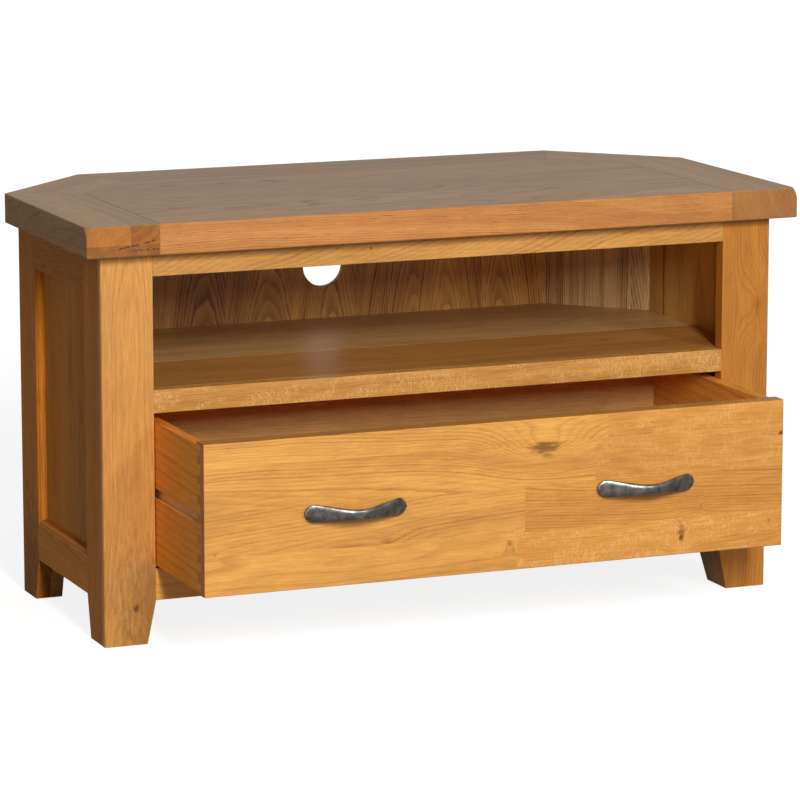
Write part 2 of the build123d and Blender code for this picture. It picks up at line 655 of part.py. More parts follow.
def handle(centre):
    """A bowed band with spoon-shaped ends and a slim waist."""
    half = HANDLE_LENGTH / 2
    gap_half = half - HANDLE_FOOT_LENGTH
    end_radius = HANDLE_END_HEIGHT / 2
    end_x = half - end_radius
    tip = -HANDLE_END_THICKNESS
    outer = ThreePointArc((half, tip), (0, -HANDLE_PROJECTION), (-half, tip))
    inner = ThreePointArc((-gap_half, 0), (0, HANDLE_BAND - HANDLE_PROJECTION), (gap_half, 0))
    left_foot = Polyline((-half, tip), (-half, 0), (-gap_half, 0))
    right_foot = Polyline((gap_half, 0), (half, 0), (half, tip))
    bow = make_face([outer, left_foot, inner, right_foot])
    band = extrude(Pos(0, 0, -end_radius) * bow, HANDLE_END_HEIGHT, dir=(0, 0, 1))
    waist = HANDLE_WAIST_HEIGHT / 2
    upper = ThreePointArc((-end_x, end_radius), (0, waist), (end_x, end_radius))
    lower = ThreePointArc((end_x, -end_radius), (0, -waist), (-end_x, -end_radius))
    ends = [Line((end_x, end_radius), (end_x, -end_radius)), Line((-end_x, -end_radius), (-end_x, end_radius))]
    face = make_face([upper, ends[0], lower, ends[1]])
    face = face + Pos(end_x, 0) * Circle(end_radius) + Pos(-end_x, 0) * Circle(end_radius)
    outline = extrude(Plane.XZ * face, HANDLE_PROJECTION, dir=(0, -1, 0))
    piece = Pos(centre, 0, HANDLE_Z) * (band & outline)
    for seat, direction in handle_screw_seats():
        piece = piece - screw_hole(seat, direction, HANDLE_SCREW_LENGTH)
    return piece


def handle_screws():
    return Compound([screw(seat, direction, HANDLE_SCREW_LENGTH) for seat, direction in handle_screw_seats()])


def export_cabinet(name, shape):
    export_step(Pos(0, -CENTRE_Y, 0) * shape, f"parts/{name}.step")


def export_pair(name, shape):
    export_cabinet(f"{name}_right", shape)
    export_cabinet(f"{name}_left", mirrored(shape))


def export_group(name, right_pieces):
    export_cabinet(name, Compound(right_pieces + [mirrored(piece) for piece in right_pieces]))


def export_drawer(name, shape):
    export_cabinet(name, Pos(0, -DRAWER_PULL, 0) * shape)


export_cabinet("top_panel", top_panel())
export_cabinet("top_back_border", top_back_border())
export_pair("top_end", top_end())
export_pair("top_diagonal", top_diagonal())

export_pair("front_stile", front_stile())
export_pair("side_front_stile", side_front_stile())
export_pair("side_rear_stile", side_rear_stile())
export_pair("side_top_rail", side_top_rail())
export_pair("side_bottom_rail", side_bottom_rail())
export_pair("side_panel", side_panel())
export_pair("side_bead", side_bead())
export_pair("front_foot_block", front_foot_block())
export_pair("rear_foot_block", rear_foot_block())

export_cabinet("front_top_rail", front_top_rail())
export_cabinet("shelf_lip", front_rail(SHELF_LIP_UNDERSIDE, SHELF_TOP))
export_cabinet("front_bottom_rail", front_rail(RAIL_UNDERSIDE_HEIGHT, FRONT_BOTTOM_RAIL_TOP))
export_cabinet("shelf_front_board", shelf_front_board())
export_cabinet("shelf_rear_board", shelf_rear_board())
export_group("shelf_cleats", [shelf_cleat()])

export_cabinet("back_panel", back_panel())
export_pair("diagonal_panel", diagonal_panel())
export_pair("back_post", back_post())
export_cabinet("back_top_rail", back_rail(SIDE_TOP_RAIL_Z, TOP_UNDERSIDE))
export_cabinet("back_bottom_rail", back_rail(RAIL_UNDERSIDE_HEIGHT, SIDE_BOTTOM_RAIL_TOP))
export_pair("diagonal_top_rail", diagonal_rail(SIDE_TOP_RAIL_Z, TOP_UNDERSIDE))
export_pair("diagonal_bottom_rail", diagonal_rail(RAIL_UNDERSIDE_HEIGHT, SIDE_BOTTOM_RAIL_TOP))

export_pair("runner_bearer", runner_bearer())
export_pair("runner", runner())
export_group("runner_screws", runner_screws())
export_group("top_fixing_blocks", fixing_blocks())
export_group("top_fixing_screws", fixing_screws())

export_drawer("drawer_front", drawer_front())
export_drawer("drawer_side_right", drawer_side())
export_drawer("drawer_side_left", mirrored(drawer_side()))
export_drawer("drawer_back", drawer_back())
export_drawer("drawer_bottom", drawer_bottom())
for hand, place in zip(("left", "right"), handle_centres()):
    export_drawer(f"handle_{hand}", handle(place))
export_drawer("handle_screws", handle_screws())
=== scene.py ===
import bpy
import bmesh
from math import atan, copysign, cos, pi, radians, sin, sqrt
from mathutils import Matrix, Vector


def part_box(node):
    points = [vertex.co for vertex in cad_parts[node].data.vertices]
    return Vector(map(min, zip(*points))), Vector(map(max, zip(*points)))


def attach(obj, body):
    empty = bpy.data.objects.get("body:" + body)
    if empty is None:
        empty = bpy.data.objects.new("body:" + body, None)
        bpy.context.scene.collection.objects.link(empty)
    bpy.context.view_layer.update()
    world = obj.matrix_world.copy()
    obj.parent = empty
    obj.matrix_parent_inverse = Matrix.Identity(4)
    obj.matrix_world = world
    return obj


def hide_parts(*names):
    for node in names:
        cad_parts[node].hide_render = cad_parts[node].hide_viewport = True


bl_info = {
    "name": "Corner media cabinet",
    "version": (1, 0, 0),
    "blender": (4, 5, 0),
    "location": "View3D > Sidebar > Cabinet",
    "description": "Dresses a rustic oak corner media cabinet with a drawer and bow handles",
    "category": "Object",
}

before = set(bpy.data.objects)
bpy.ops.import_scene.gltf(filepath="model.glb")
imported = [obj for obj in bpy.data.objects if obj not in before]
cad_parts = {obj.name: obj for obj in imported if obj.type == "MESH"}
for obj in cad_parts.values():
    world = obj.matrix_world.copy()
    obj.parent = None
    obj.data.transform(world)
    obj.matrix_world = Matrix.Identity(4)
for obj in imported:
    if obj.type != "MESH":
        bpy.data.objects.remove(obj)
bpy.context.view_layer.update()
AXES = {"X": (1.0, 0.0, 0.0), "Y": (0.0, 1.0, 0.0), "Z": (0.0, 0.0, 1.0)}
DIAGONAL = radians(45.0)


def middle_of(node):
    """The centre of a CAD node's box at rest."""
    low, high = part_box(node)
    return (Vector(low) + Vector(high)) / 2


def half_size(node):
    """Half the size of a CAD node's box at rest."""
    low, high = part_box(node)
    return (Vector(high) - Vector(low)) / 2


DRAWER_FACE_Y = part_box("drawer_front")[0][1]
HANDLE_HALF = half_size("handle_left")


# Settings that a user would change
class OakSettings(bpy.types.PropertyGroup):
    """Colours and figure of the lacquered oak."""

    light: bpy.props.FloatVectorProperty(
        name="Late wood", description="Pale part of each growth ring", subtype="COLOR", size=3,
        min=0.0, max=1.0, default=(0.900, 0.440, 0.102))
    dark: bpy.props.FloatVectorProperty(
        name="Early wood", description="Dark part of each growth ring", subtype="COLOR", size=3,
        min=0.0, max=1.0, default=(0.430, 0.150, 0.023))
    pore: bpy.props.FloatVectorProperty(
        name="Pores", description="Stain held by the open pores", subtype="COLOR", size=3,
        min=0.0, max=1.0, default=(0.200, 0.062, 0.010))
    knot: bpy.props.FloatVectorProperty(
        name="Knots", description="Heart of a knot", subtype="COLOR", size=3,
        min=0.0, max=1.0, default=(0.130, 0.045, 0.012))
    ring: bpy.props.FloatProperty(
        name="Ring width", description="Mean width of a growth ring", unit="LENGTH",
        min=0.0005, default=0.0030)
    stave: bpy.props.FloatProperty(
        name="Stave width", description="Width up to which a board is one piece of wood", unit="LENGTH",
        min=0.01, default=0.3)


class PewterSettings(bpy.types.PropertyGroup):
    """Shape and colours of the bow handles."""

    dark: bpy.props.FloatVectorProperty(
        name="Antique metal", description="Blackened pewter in the low places", subtype="COLOR", size=3,
        min=0.0, max=1.0, default=(0.046, 0.040, 0.035))
    bright: bpy.props.FloatVectorProperty(
        name="Rubbed metal", description="Pewter rubbed bright on the high places", subtype="COLOR", size=3,
        min=0.0, max=1.0, default=(0.420, 0.388, 0.360))
    end_thickness: bpy.props.FloatProperty(
        name="End thickness", description="Thickness of the spoon-shaped ends", unit="LENGTH",
        min=0.001, default=0.0050)
    waist_thickness: bpy.props.FloatProperty(
        name="Waist thickness", description="Thickness of the bow at its middle", unit="LENGTH",
        min=0.001, default=0.0075)
    waist_height: bpy.props.FloatProperty(
        name="Waist height", description="Height of the bow at its middle", unit="LENGTH",
        min=0.001, default=0.0135)


class StageSettings(bpy.types.PropertyGroup):
    """Camera and light of the studio."""

    camera_place: bpy.props.FloatVectorProperty(
        name="Camera", description="Where the camera stands", subtype="TRANSLATION", size=3,
        default=(-2.0766, -5.0508, 1.2905))
    camera_turn: bpy.props.FloatProperty(
        name="Turn", description="How far the camera looks to the right of straight on", subtype="ANGLE",
        default=radians(22.237))
    camera_dip: bpy.props.FloatProperty(
        name="Dip", description="How far the camera looks down", subtype="ANGLE", default=radians(10.6))
    lens: bpy.props.FloatProperty(
        name="Lens", description="Focal length on a 36 mm sensor", min=10.0, default=186.01)
    key_power: bpy.props.FloatProperty(
        name="Key light", description="Power of the large front light", unit="POWER",
        min=0.0, default=148.0)
    fill_power: bpy.props.FloatProperty(
        name="Fill light", description="Power of the small light on the right", unit="POWER",
        min=0.0, default=36.0)
    sky: bpy.props.FloatProperty(
        name="Room light", description="Strength of the even light around the object",
        min=0.0, default=0.16)
    floor: bpy.props.FloatVectorProperty(
        name="Floor", description="Colour of the floor as it lights the object", subtype="COLOR", size=3,
        min=0.0, max=1.0, default=(0.40, 0.40, 0.40))


# Shader helpers
class Graph:
    """Adds nodes to a node tree and wires them up."""

    def __init__(self, tree):
        self.tree = tree

    def node(self, kind, values=(), **settings):
        """A new node with settings, and with values for its inputs in order or by name."""
        made = self.tree.nodes.new(kind)
        for key, value in settings.items():
            setattr(made, key, value)
        given = values if isinstance(values, dict) else dict(enumerate(values))
        for key, value in given.items():
            self.feed(value, made.inputs[key])
        return made

    def feed(self, value, socket):
        """Link another node's output to an input, or set the input to a plain value."""
        if isinstance(value, bpy.types.NodeSocket):
            self.tree.links.new(value, socket)
        else:
            socket.default_value = value

    def math(self, operation, *values):
        return self.node("ShaderNodeMath", values, operation=operation).outputs[0]

    def times(self, first, *others):
        """Product of some values."""
        for value in others:
            first = self.math("MULTIPLY", first, value)
        return first

    def vector(self, operation, *values):
        made = self.node("ShaderNodeVectorMath", values, operation=operation)
        return made.outputs["Value" if operation in ("DOT_PRODUCT", "LENGTH") else "Vector"]

    def split(self, vector):
        return self.node("ShaderNodeSeparateXYZ", (vector,)).outputs

    def join(self, *parts):
        return self.node("ShaderNodeCombineXYZ", parts).outputs[0]

    def noise(self, vector, scale, detail=2.0, roughness=0.5):
        values = {"Vector": vector, "Scale": scale, "Detail": detail, "Roughness": roughness}
        return self.node("ShaderNodeTexNoise", values).outputs["Fac"]

    def fibre(self, grain, along, across, detail=2.0, roughness=0.5):
        """Noise drawn out along the grain."""
        scaled = map(self.times, grain, (along, across, across))
        return self.noise(self.join(*scaled), 1.0, detail, roughness)

    def strip(self, value, width):
        """Number of the strip that a place lies in, counted from the middle."""
        return self.math("FLOOR", self.math("ADD", self.math("DIVIDE", value, width), 0.5))

    def random(self, value):
        """A random number and a random colour for each value."""
        return self.node("ShaderNodeTexWhiteNoise", {"W": value}, noise_dimensions="1D").outputs

    def smooth(self, value, low, high):
        """Eased step from 0 at one value to 1 at another."""
        values = {"Value": value, "From Min": low, "From Max": high}
        return self.node("ShaderNodeMapRange", values, interpolation_type="SMOOTHSTEP").outputs["Result"]

    def span(self, value, low, high):
        """Stretch 0 to 1 over another range."""
        values = {"Value": value, "To Min": low, "To Max": high}
        return self.node("ShaderNodeMapRange", values).outputs["Result"]

    def pick(self, factor, first, second):
        """Blend of two numbers."""
        made = self.node("ShaderNodeMix", data_type="FLOAT")
        numbers = [socket for socket in made.inputs if socket.enabled and socket.type == "VALUE"]
        for value, socket in zip((factor, first, second), numbers):
            self.feed(value, socket)
        return [socket for socket in made.outputs if socket.enabled][0]

    def mix(self, factor, first, second, blend="MIX"):
        """Blend of two colours."""
        made = self.node("ShaderNodeMix", data_type="RGBA", blend_type=blend)
        self.feed(factor, made.inputs["Factor"])
        colours = [socket for socket in made.inputs if socket.type == "RGBA"]
        self.feed(first, colours[0])
        self.feed(second, colours[1])
        return [socket for socket in made.outputs if socket.type == "RGBA"][0]


def rgba(colour):
    """A colour with full opacity."""
    return tuple(colour) + (1.0,)


def new_material(name):
    """A new material, with its graph and its shader."""
    material = bpy.data.materials.new(name)
    material.use_nodes = True
    return material, Graph(material.node_tree), material.node_tree.nodes["Principled BSDF"]


def new_group(name, inputs, outputs):
    """An empty shader group with named sockets, given as (name, kind, default) and (name, kind)."""
    group = bpy.data.node_groups.new(name, "ShaderNodeTree")
    for label, kind, default in inputs:
        socket = group.interface.new_socket(label, in_out="INPUT", socket_type=kind)
        socket.default_value = default
    for label, kind in outputs:
        group.interface.new_socket(label, in_out="OUTPUT", socket_type=kind)
    graph = Graph(group)
    return group, graph, graph.node("NodeGroupInput").outputs, graph.node("NodeGroupOutput").inputs


FLOAT, COLOUR, VECTOR = "NodeSocketFloat", "NodeSocketColor", "NodeSocketVector"
# Rim of a knot: waves in a metre along the grain, across and through, how ragged it is, and where
# the heart fades in, in radii
KNOT_WAVES = (60.0, 240.0, 240.0)
KNOT_RIPPLE = 2.2
KNOT_RIM = (1.25, 0.25)
# How fast the push of a knot on the rings dies away
KNOT_FALL = 0.09


def knot_group():
    """Pushes the growth rings aside around one knot and marks its heart."""
    inputs = [("Board", VECTOR, (0, 0, 0)), ("Centre", VECTOR, (0, 0, 0)), ("Radius", FLOAT, 0.006),
              ("Stretch", FLOAT, 0.6), ("Depth", FLOAT, 1.0), ("Push", FLOAT, 2.4)]
    group, graph, given, out = new_group("oak_knot", inputs, [("Shift", FLOAT), ("Heart", FLOAT)])
    part = graph.split(graph.vector("SUBTRACT", given["Board"], given["Centre"]))
    along = graph.times(part["X"], given["Stretch"])
    distance = graph.vector("LENGTH", graph.join(along, part["Y"], 0.0))
    ratio = graph.math("DIVIDE", distance, given["Radius"])
    ragged = graph.noise(graph.vector("MULTIPLY", given["Board"], KNOT_WAVES), 1.0, 3.0, 0.6)
    ripple = graph.times(graph.math("SUBTRACT", ragged, 0.5), KNOT_RIPPLE)
    fall = graph.math("EXPONENT", graph.times(ratio, ratio, -KNOT_FALL))
    push = graph.times(given["Radius"], given["Push"])
    graph.feed(graph.times(fall, push), out["Shift"])
    heart = graph.smooth(graph.math("ADD", ratio, ripple), *KNOT_RIM)
    graph.feed(graph.times(heart, given["Depth"]), out["Heart"])
    return group


# Noises drawn out along the grain: waves in a metre along it and across it, detail and roughness
FIBRES = {
    "sway": (1.7, 9.0, 2.0, 0.5),
    "wave": (9.0, 50.0, 3.0, 0.5),
    "fray": (55.0, 420.0, 2.0, 0.5),
    "streak": (48.0, 560.0, 2.0, 0.7),
    "fibre": (22.0, 380.0, 4.0, 0.75),
    "cloud": (2.6, 17.0, 3.0, 0.5),
    "mottle": (22.0, 60.0, 2.0, 0.5),
}
# Rays: waves in a metre along the grain and across it, detail, how far they bend with the grain, how
# wide a fleck is, where the clusters lie, and tint against the late wood
RAY_WAVES = (360.0, 84.0, 1.0)
RAY_BEND = 0.02
RAY_EDGE = (0.060, 0.015)
RAY_CLUSTERS = (0.40, 0.56)
RAY_TINT = (1.05, 1.28, 1.9, 1.0)
# Early wood: where in a ring it sets in and where it begins to fade, how much rings differ, and where
# and how far the fibres break it up
RING_START = (0.0, 0.08)
RING_FADE = 0.02
RING_VIGOUR = (0.35, 1.0)
RING_BREAKS = (0.32, 0.66)
RING_LEFT = (0.45, 1.0)
# Bands over many rings: waves in a ring and in a metre along the grain, and where they set in
BAND_WAVES = (0.19, 0.9)
BAND_EDGE = (0.32, 0.68)
# How much of the dark colour the early wood and the bands take
LINE_SHARE = 0.85
BAND_SHARE = 0.28
# Pores: where the fibres open into them, and how dense they are outside and inside the early wood
PORE_EDGE = (0.55, 0.74)
PORE_SPREAD = (0.35, 1.0)
# Height of the early wood and of the pores, as shares of the relief
LINE_HEIGHT = -0.35
PORE_HEIGHT = -1.0
# How far a noise bends the growth rings, in metres
SWAY_REACH = 0.030
WAVE_REACH = 0.0028
FRAY_REACH = 0.0008
# How far a noise darkens and lightens the wood
TONE_SPANS = {"cloud": (0.82, 1.18), "fibre": (0.62, 1.38), "streak": (0.72, 1.28), "mottle": (0.88, 1.12)}
# How far along the log, and how far to the side of its pith, staves may be cut from one another
STAVE_SHIFT = 5.0
STAVE_TILT = 0.03
# Step between boards in the random draw, so that their staves don't repeat
SEED_STEP = 7.31
# Roughness of the lacquer over plain wood and over pores, and what clouds and end faces add to it
LACQUER_ROUGHNESS = (0.36, 0.50)
CLOUD_ROUGHNESS = 0.10
END_ROUGHNESS = 0.12
# How squarely a face has to cut the grain to look like an end
END_EDGE = (0.6, 0.95)


def ray_flecks(graph, along, place, wave, mottle):
    """Clusters of pale flecks that run across the grain."""
    bent = graph.math("MULTIPLY_ADD", wave, RAY_BEND, along)
    veil = graph.fibre((bent, place["Y"], place["Z"]), *RAY_WAVES)
    vein = graph.smooth(graph.math("ABSOLUTE", graph.math("SUBTRACT", veil, 0.5)), *RAY_EDGE)
    return graph.times(vein, graph.smooth(mottle, *RAY_CLUSTERS))


def ring_lines(graph, phase, given, streak):
    """The dark early wood of each growth ring, which differs from ring to ring and breaks up along it."""
    fraction = graph.math("FRACT", phase)
    vigour = graph.random(graph.math("ADD", graph.math("FLOOR", phase), given["Seed"]))["Value"]
    early = graph.times(graph.smooth(fraction, given["Early Share"], RING_FADE),
                        graph.smooth(fraction, *RING_START))
    strength = graph.span(graph.times(vigour, vigour), *RING_VIGOUR)
    return graph.times(early, strength, graph.span(graph.smooth(streak, *RING_BREAKS), *RING_LEFT))


def oak_group():
    """Growth rings, pores, rays and staves of oak, cut through the solid board."""
    white, black = (1, 1, 1, 1), (0, 0, 0, 1)
    colours = {"Light": white, "Dark": black, "Pore": black, "Knot": black, "End Tint": white}
    numbers = {"End Face": 0.0, "Ring Width": 0.003, "Stave Width": 0.08, "Pith Across": 0.0,
               "Pith Depth": 0.05, "Rise": 0.03, "Sway": 1.0, "Contrast": 0.6, "Pores": 0.5, "Rays": 0.0,
               "Tone": 1.0, "End Tone": 1.0, "Stave Tone": 0.2, "Warmth": 0.0, "Early Share": 0.55,
               "Seed": 0.0, "Shift": 0.0, "Heart": 0.0, "Matt": 0.0}
    inputs = [("Board", VECTOR, (0, 0, 0))]
    inputs += [(label, COLOUR, value) for label, value in colours.items()]
    inputs += [(label, FLOAT, value) for label, value in numbers.items()]
    outputs = [("Color", COLOUR), ("Roughness", FLOAT), ("Height", FLOAT)]
    group, graph, given, out = new_group("oak_figure", inputs, outputs)
    place = graph.split(given["Board"])
    stave = graph.strip(place["Y"], given["Stave Width"])
    draw = graph.random(graph.math("ADD", graph.times(given["Seed"], SEED_STEP), stave))
    chance = graph.split(draw["Color"])
    along = graph.math("ADD", place["X"], graph.times(chance["X"], STAVE_SHIFT))
    across = graph.math("SUBTRACT", place["Y"], graph.times(stave, given["Stave Width"]))
    noise = {name: graph.fibre((along, place["Y"], place["Z"]), *waves) for name, waves in FIBRES.items()}
    sway, wave, fray = (graph.math("SUBTRACT", noise[name], 0.5) for name in ("sway", "wave", "fray"))
    tilt = graph.times(graph.math("SUBTRACT", chance["Y"], 0.5), given["Stave Width"])
    tilt = graph.math("MINIMUM", graph.math("MAXIMUM", tilt, -STAVE_TILT), STAVE_TILT)
    from_pith = graph.math("SUBTRACT", graph.math("SUBTRACT", across, tilt), given["Pith Across"])
    deep = graph.math("SUBTRACT", place["Z"], given["Pith Depth"])
    radius = graph.vector("LENGTH", graph.join(from_pith, deep, 0.0))
    radius = graph.math("MULTIPLY_ADD", along, given["Rise"], radius)
    radius = graph.math("MULTIPLY_ADD", sway, graph.times(given["Sway"], SWAY_REACH), radius)
    radius = graph.math("MULTIPLY_ADD", wave, graph.times(given["Sway"], WAVE_REACH), radius)
    radius = graph.math("MULTIPLY_ADD", fray, FRAY_REACH, radius)
    radius = graph.math("ADD", radius, given["Shift"])
    phase = graph.math("DIVIDE", radius, given["Ring Width"])
    line = ring_lines(graph, phase, given, noise["streak"])
    drift = graph.join(*map(graph.times, (phase, along), BAND_WAVES), given["Seed"])
    slow = graph.smooth(graph.noise(drift, 1.0, 1.0), *BAND_EDGE)
    band = graph.math("MULTIPLY_ADD", slow, BAND_SHARE, graph.times(line, LINE_SHARE))
    pores = graph.times(graph.smooth(noise["streak"], *PORE_EDGE), graph.span(line, *PORE_SPREAD))
    flecks = ray_flecks(graph, along, place, wave, noise["mottle"])
    tone = graph.times(*(graph.span(noise[name], *limits) for name, limits in TONE_SPANS.items()))
    tone = graph.math("MULTIPLY_ADD", graph.math("SUBTRACT", chance["Z"], 0.5), given["Stave Tone"], tone)
    tone = graph.times(tone, given["Tone"])
    colour = graph.mix(graph.times(band, given["Contrast"]), given["Light"], given["Dark"])
    colour = graph.mix(graph.times(pores, given["Pores"]), colour, given["Pore"])
    green = graph.times(tone, graph.math("MULTIPLY_ADD", given["Warmth"], -0.5, 1.0))
    blue = graph.times(tone, graph.math("SUBTRACT", 1.0, given["Warmth"]))
    colour = graph.mix(1.0, colour, graph.join(tone, green, blue), "MULTIPLY")
    pale = graph.mix(1.0, given["Light"], RAY_TINT, "MULTIPLY")
    colour = graph.mix(graph.times(flecks, given["Rays"]), colour, pale)
    colour = graph.mix(given["Heart"], colour, given["Knot"])
    end_mask = graph.smooth(given["End Face"], *END_EDGE)
    end_tone = graph.join(given["End Tone"], given["End Tone"], given["End Tone"])
    tinted = graph.mix(1.0, graph.mix(1.0, colour, end_tone, "MULTIPLY"), given["End Tint"], "MULTIPLY")
    graph.feed(graph.mix(end_mask, colour, tinted), out["Color"])
    clouded = graph.math("SUBTRACT", noise["cloud"], 0.5)
    dull = graph.math("MULTIPLY_ADD", clouded, CLOUD_ROUGHNESS, graph.span(pores, *LACQUER_ROUGHNESS))
    dull = graph.math("ADD", dull, given["Matt"])
    graph.feed(graph.math("MULTIPLY_ADD", end_mask, END_ROUGHNESS, dull), out["Roughness"])
    sunk = graph.math("MULTIPLY_ADD", line, LINE_HEIGHT, graph.times(pores, PORE_HEIGHT))
    graph.feed(sunk, out["Height"])
    return group


def shared_group(name, build):
    """A shader group, built the first time it is asked for."""
    found = bpy.data.node_groups.get(name)
    return found if found else build()


def board_space(graph, origin, grain, across, turn):
    """Coordinates along the grain, across the board and through it, from the board's middle."""
    coords = graph.node("ShaderNodeTexCoord").outputs
    values = {"Location": origin, "Rotation": (0.0, 0.0, turn), "Vector": coords["Object"]}
    mapping = graph.node("ShaderNodeMapping", values, vector_type="TEXTURE")
    part = graph.split(mapping.outputs["Vector"])
    through = [axis for axis in "XYZ" if axis not in (grain, across)][0]
    board = graph.join(part[grain], part[across], part[through])
    direction = Matrix.Rotation(turn, 3, "Z") @ Vector(AXES[grain])
    end = graph.math("ABSOLUTE", graph.vector("DOT_PRODUCT", coords["Normal"], tuple(direction)))
    return board, end


# Tint of end grain, and depth of the pores in the lacquer, in metres
END_TINT = (0.74, 0.58, 0.46)
RELIEF_DEPTH = 0.0004
# The second coat: its roughness, and how level a face is where it begins and where it is full
COAT_ROUGHNESS = 0.60
COAT_SLOPE = (0.4, 0.9)


def oak_material(name, origin, grain, across, turn=0.0, hue=(1.0, 1.0, 1.0), end_tint=END_TINT, shade=1.0,
                 knots=(), seams=(), cracks=(), patches=(), specular=0.45, bump=0.25, polish=0.0, **figure):
    """Lacquered oak for one board: its grain runs along one axis and its face across another.

    Shade deepens the dark part of the rings. Polish is how much of a second coat lies on the faces that
    look up. What else is given goes to the input of the oak group that has its name.
    """
    oak = bpy.context.scene.cabinet_oak
    material, graph, shader = new_material(name)
    board, end = board_space(graph, origin, grain, across, turn)
    values = {"Board": board, "End Face": end, "End Tint": rgba(end_tint), "Ring Width": oak.ring,
              "Stave Width": oak.stave}
    for label, gain in (("light", 1.0), ("dark", shade), ("pore", shade), ("knot", 1.0)):
        values[label.title()] = rgba(min(1.0, a * b * gain) for a, b in zip(getattr(oak, label), hue))
    values.update({label.replace("_", " ").title(): value for label, value in figure.items()})
    values.update(patchwork(graph, board, patches))
    values.update(board_marks(graph, board, knots, seams, cracks))
    group = graph.node("ShaderNodeGroup", values, node_tree=shared_group("oak_figure", oak_group))
    graph.feed(group.outputs["Color"], shader.inputs["Base Color"])
    graph.feed(group.outputs["Roughness"], shader.inputs["Roughness"])
    shader.inputs["Specular IOR Level"].default_value = specular
    if polish:
        level = graph.split(graph.node("ShaderNodeTexCoord").outputs["Normal"])["Z"]
        coat = graph.times(graph.smooth(level, *COAT_SLOPE), polish)
        graph.feed(coat, shader.inputs["Coat Weight"])
        shader.inputs["Coat Roughness"].default_value = COAT_ROUGHNESS
    add_relief(graph, shader, group.outputs["Height"], bump, RELIEF_DEPTH)
    return material


def add_relief(graph, shader, height, strength, depth):
    """Let a height bend the light on a shader's surface."""
    relief = graph.node("ShaderNodeBump", {"Strength": strength, "Distance": depth, "Height": height})
    graph.feed(relief.outputs["Normal"], shader.inputs["Normal"])


def patchwork(graph, board, patches):
    """Figure settings that change over a board, from stave to stave or from face to face.

    Each patch gives the lower edges that it lies beyond, as (axis, edge), and its settings. Later
    patches cover earlier ones.
    """
    part = graph.split(board)
    picked = {}
    for edges, settings in patches:
        here = 1.0
        for axis, edge in edges:
            here = graph.times(here, graph.math("GREATER_THAN", part[axis], edge))
        for label, value in settings.items():
            choose = graph.mix if isinstance(value, tuple) else graph.pick
            picked[label] = choose(here, picked.get(label, value), value)
    return picked


# How dark a seam line and a crack are, the waves in a metre that bend a crack and break it up, how far it
# bends, in half widths, and where it breaks. A seam line is a glue line on the top, and painted shade
# along the edges of the side panels
SEAM_AND_SHADE_DEPTH = 0.85
CRACK_DEPTH = 0.9
CRACK_BENDS = 210.0
CRACK_BREAKS = 120.0
CRACK_REACH = 4.0
CRACK_EDGE = (0.40, 0.52)


def board_marks(graph, board, knots, seams, cracks):
    """Ring shift and dark marks of a board.

    Knots are (along, across, radius, stretch, depth, push). Seams and shade lines are dark lines along an
    edge, glue lines on the top and painted shade along the edges of the side panels: (outward normal,
    distance from the middle, width, where they begin across). Cracks are ragged lines on the board's end:
    (normal, distance from the middle, half width, where they begin across).
    """
    shift, heart = 0.0, 0.0
    for along, across, *shape in knots:
        values = dict(zip(("Radius", "Stretch", "Depth", "Push"), shape))
        values.update({"Board": board, "Centre": (along, across, 0.0)})
        knot = graph.node("ShaderNodeGroup", values, node_tree=shared_group("oak_knot", knot_group))
        shift = graph.math("ADD", shift, knot.outputs["Shift"])
        heart = graph.math("MAXIMUM", heart, knot.outputs["Heart"])
    for normal, distance, width, start in seams:
        reach = graph.vector("DOT_PRODUCT", board, normal)
        seam_and_shade_line = graph.smooth(reach, distance - width, distance - width / 2)
        begun = graph.math("GREATER_THAN", graph.split(board)["Y"], start)
        heart = graph.math("MAXIMUM", heart, graph.times(seam_and_shade_line, begun, SEAM_AND_SHADE_DEPTH))
    for normal, distance, width, start in cracks:
        bend = graph.math("SUBTRACT", graph.noise(board, CRACK_BENDS, 3.0), 0.5)
        reach = graph.vector("DOT_PRODUCT", board, normal)
        reach = graph.math("MULTIPLY_ADD", bend, CRACK_REACH * width, reach)
        aside = graph.math("ABSOLUTE", graph.math("SUBTRACT", reach, distance))
        line = graph.smooth(aside, width, width / 3)
        breaks = graph.smooth(graph.noise(board, CRACK_BREAKS, 2.0), *CRACK_EDGE)
        begun = graph.math("GREATER_THAN", graph.split(board)["Y"], start)
        heart = graph.math("MAXIMUM", heart, graph.times(line, breaks, begun, CRACK_DEPTH))
    return {"Shift": shift, "Heart": heart}


def dress(node, material):
    """Give a CAD node its finish."""
    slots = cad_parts[node].data.materials
    slots.clear()
    slots.append(material)


def dress_board(node, grain, across, seed, **figure):
    """Give a CAD node an oak finish centred on it."""
    dress(node, oak_material(f"oak_{node}", middle_of(node), grain, across, seed=seed, **figure))


# Metal: how much finer its grain is than its clouds, how far the grain changes the roughness, and the
# strength and depth of the grain in relief
METAL_FINENESS = 7.0
METAL_DULLING = (-0.08, 0.10)
METAL_BUMP = 0.15
METAL_RELIEF = 0.0006


def plain_metal(name, dark, bright, scale, roughness, clouds):
    """Metal with clouds of wear, for the screws and the handles."""
    material, graph, shader = new_material(name)
    place = graph.node("ShaderNodeTexCoord").outputs["Object"]
    wear = graph.smooth(graph.noise(place, scale, 4.0, 0.6), *clouds)
    fine = graph.noise(place, scale * METAL_FINENESS, 2.0, 0.5)
    dull = graph.span(fine, *(roughness + change for change in METAL_DULLING))
    graph.feed(graph.mix(wear, rgba(dark), rgba(bright)), shader.inputs["Base Color"])
    graph.feed(dull, shader.inputs["Roughness"])
    shader.inputs["Metallic"].default_value = 1.0
    add_relief(graph, shader, fine, METAL_BUMP, METAL_RELIEF)
    return material


def both(name):
    """The left and the right node of a pair, each with the sign of its side."""
    return [(f"{name}_left", -1), (f"{name}_right", 1)]


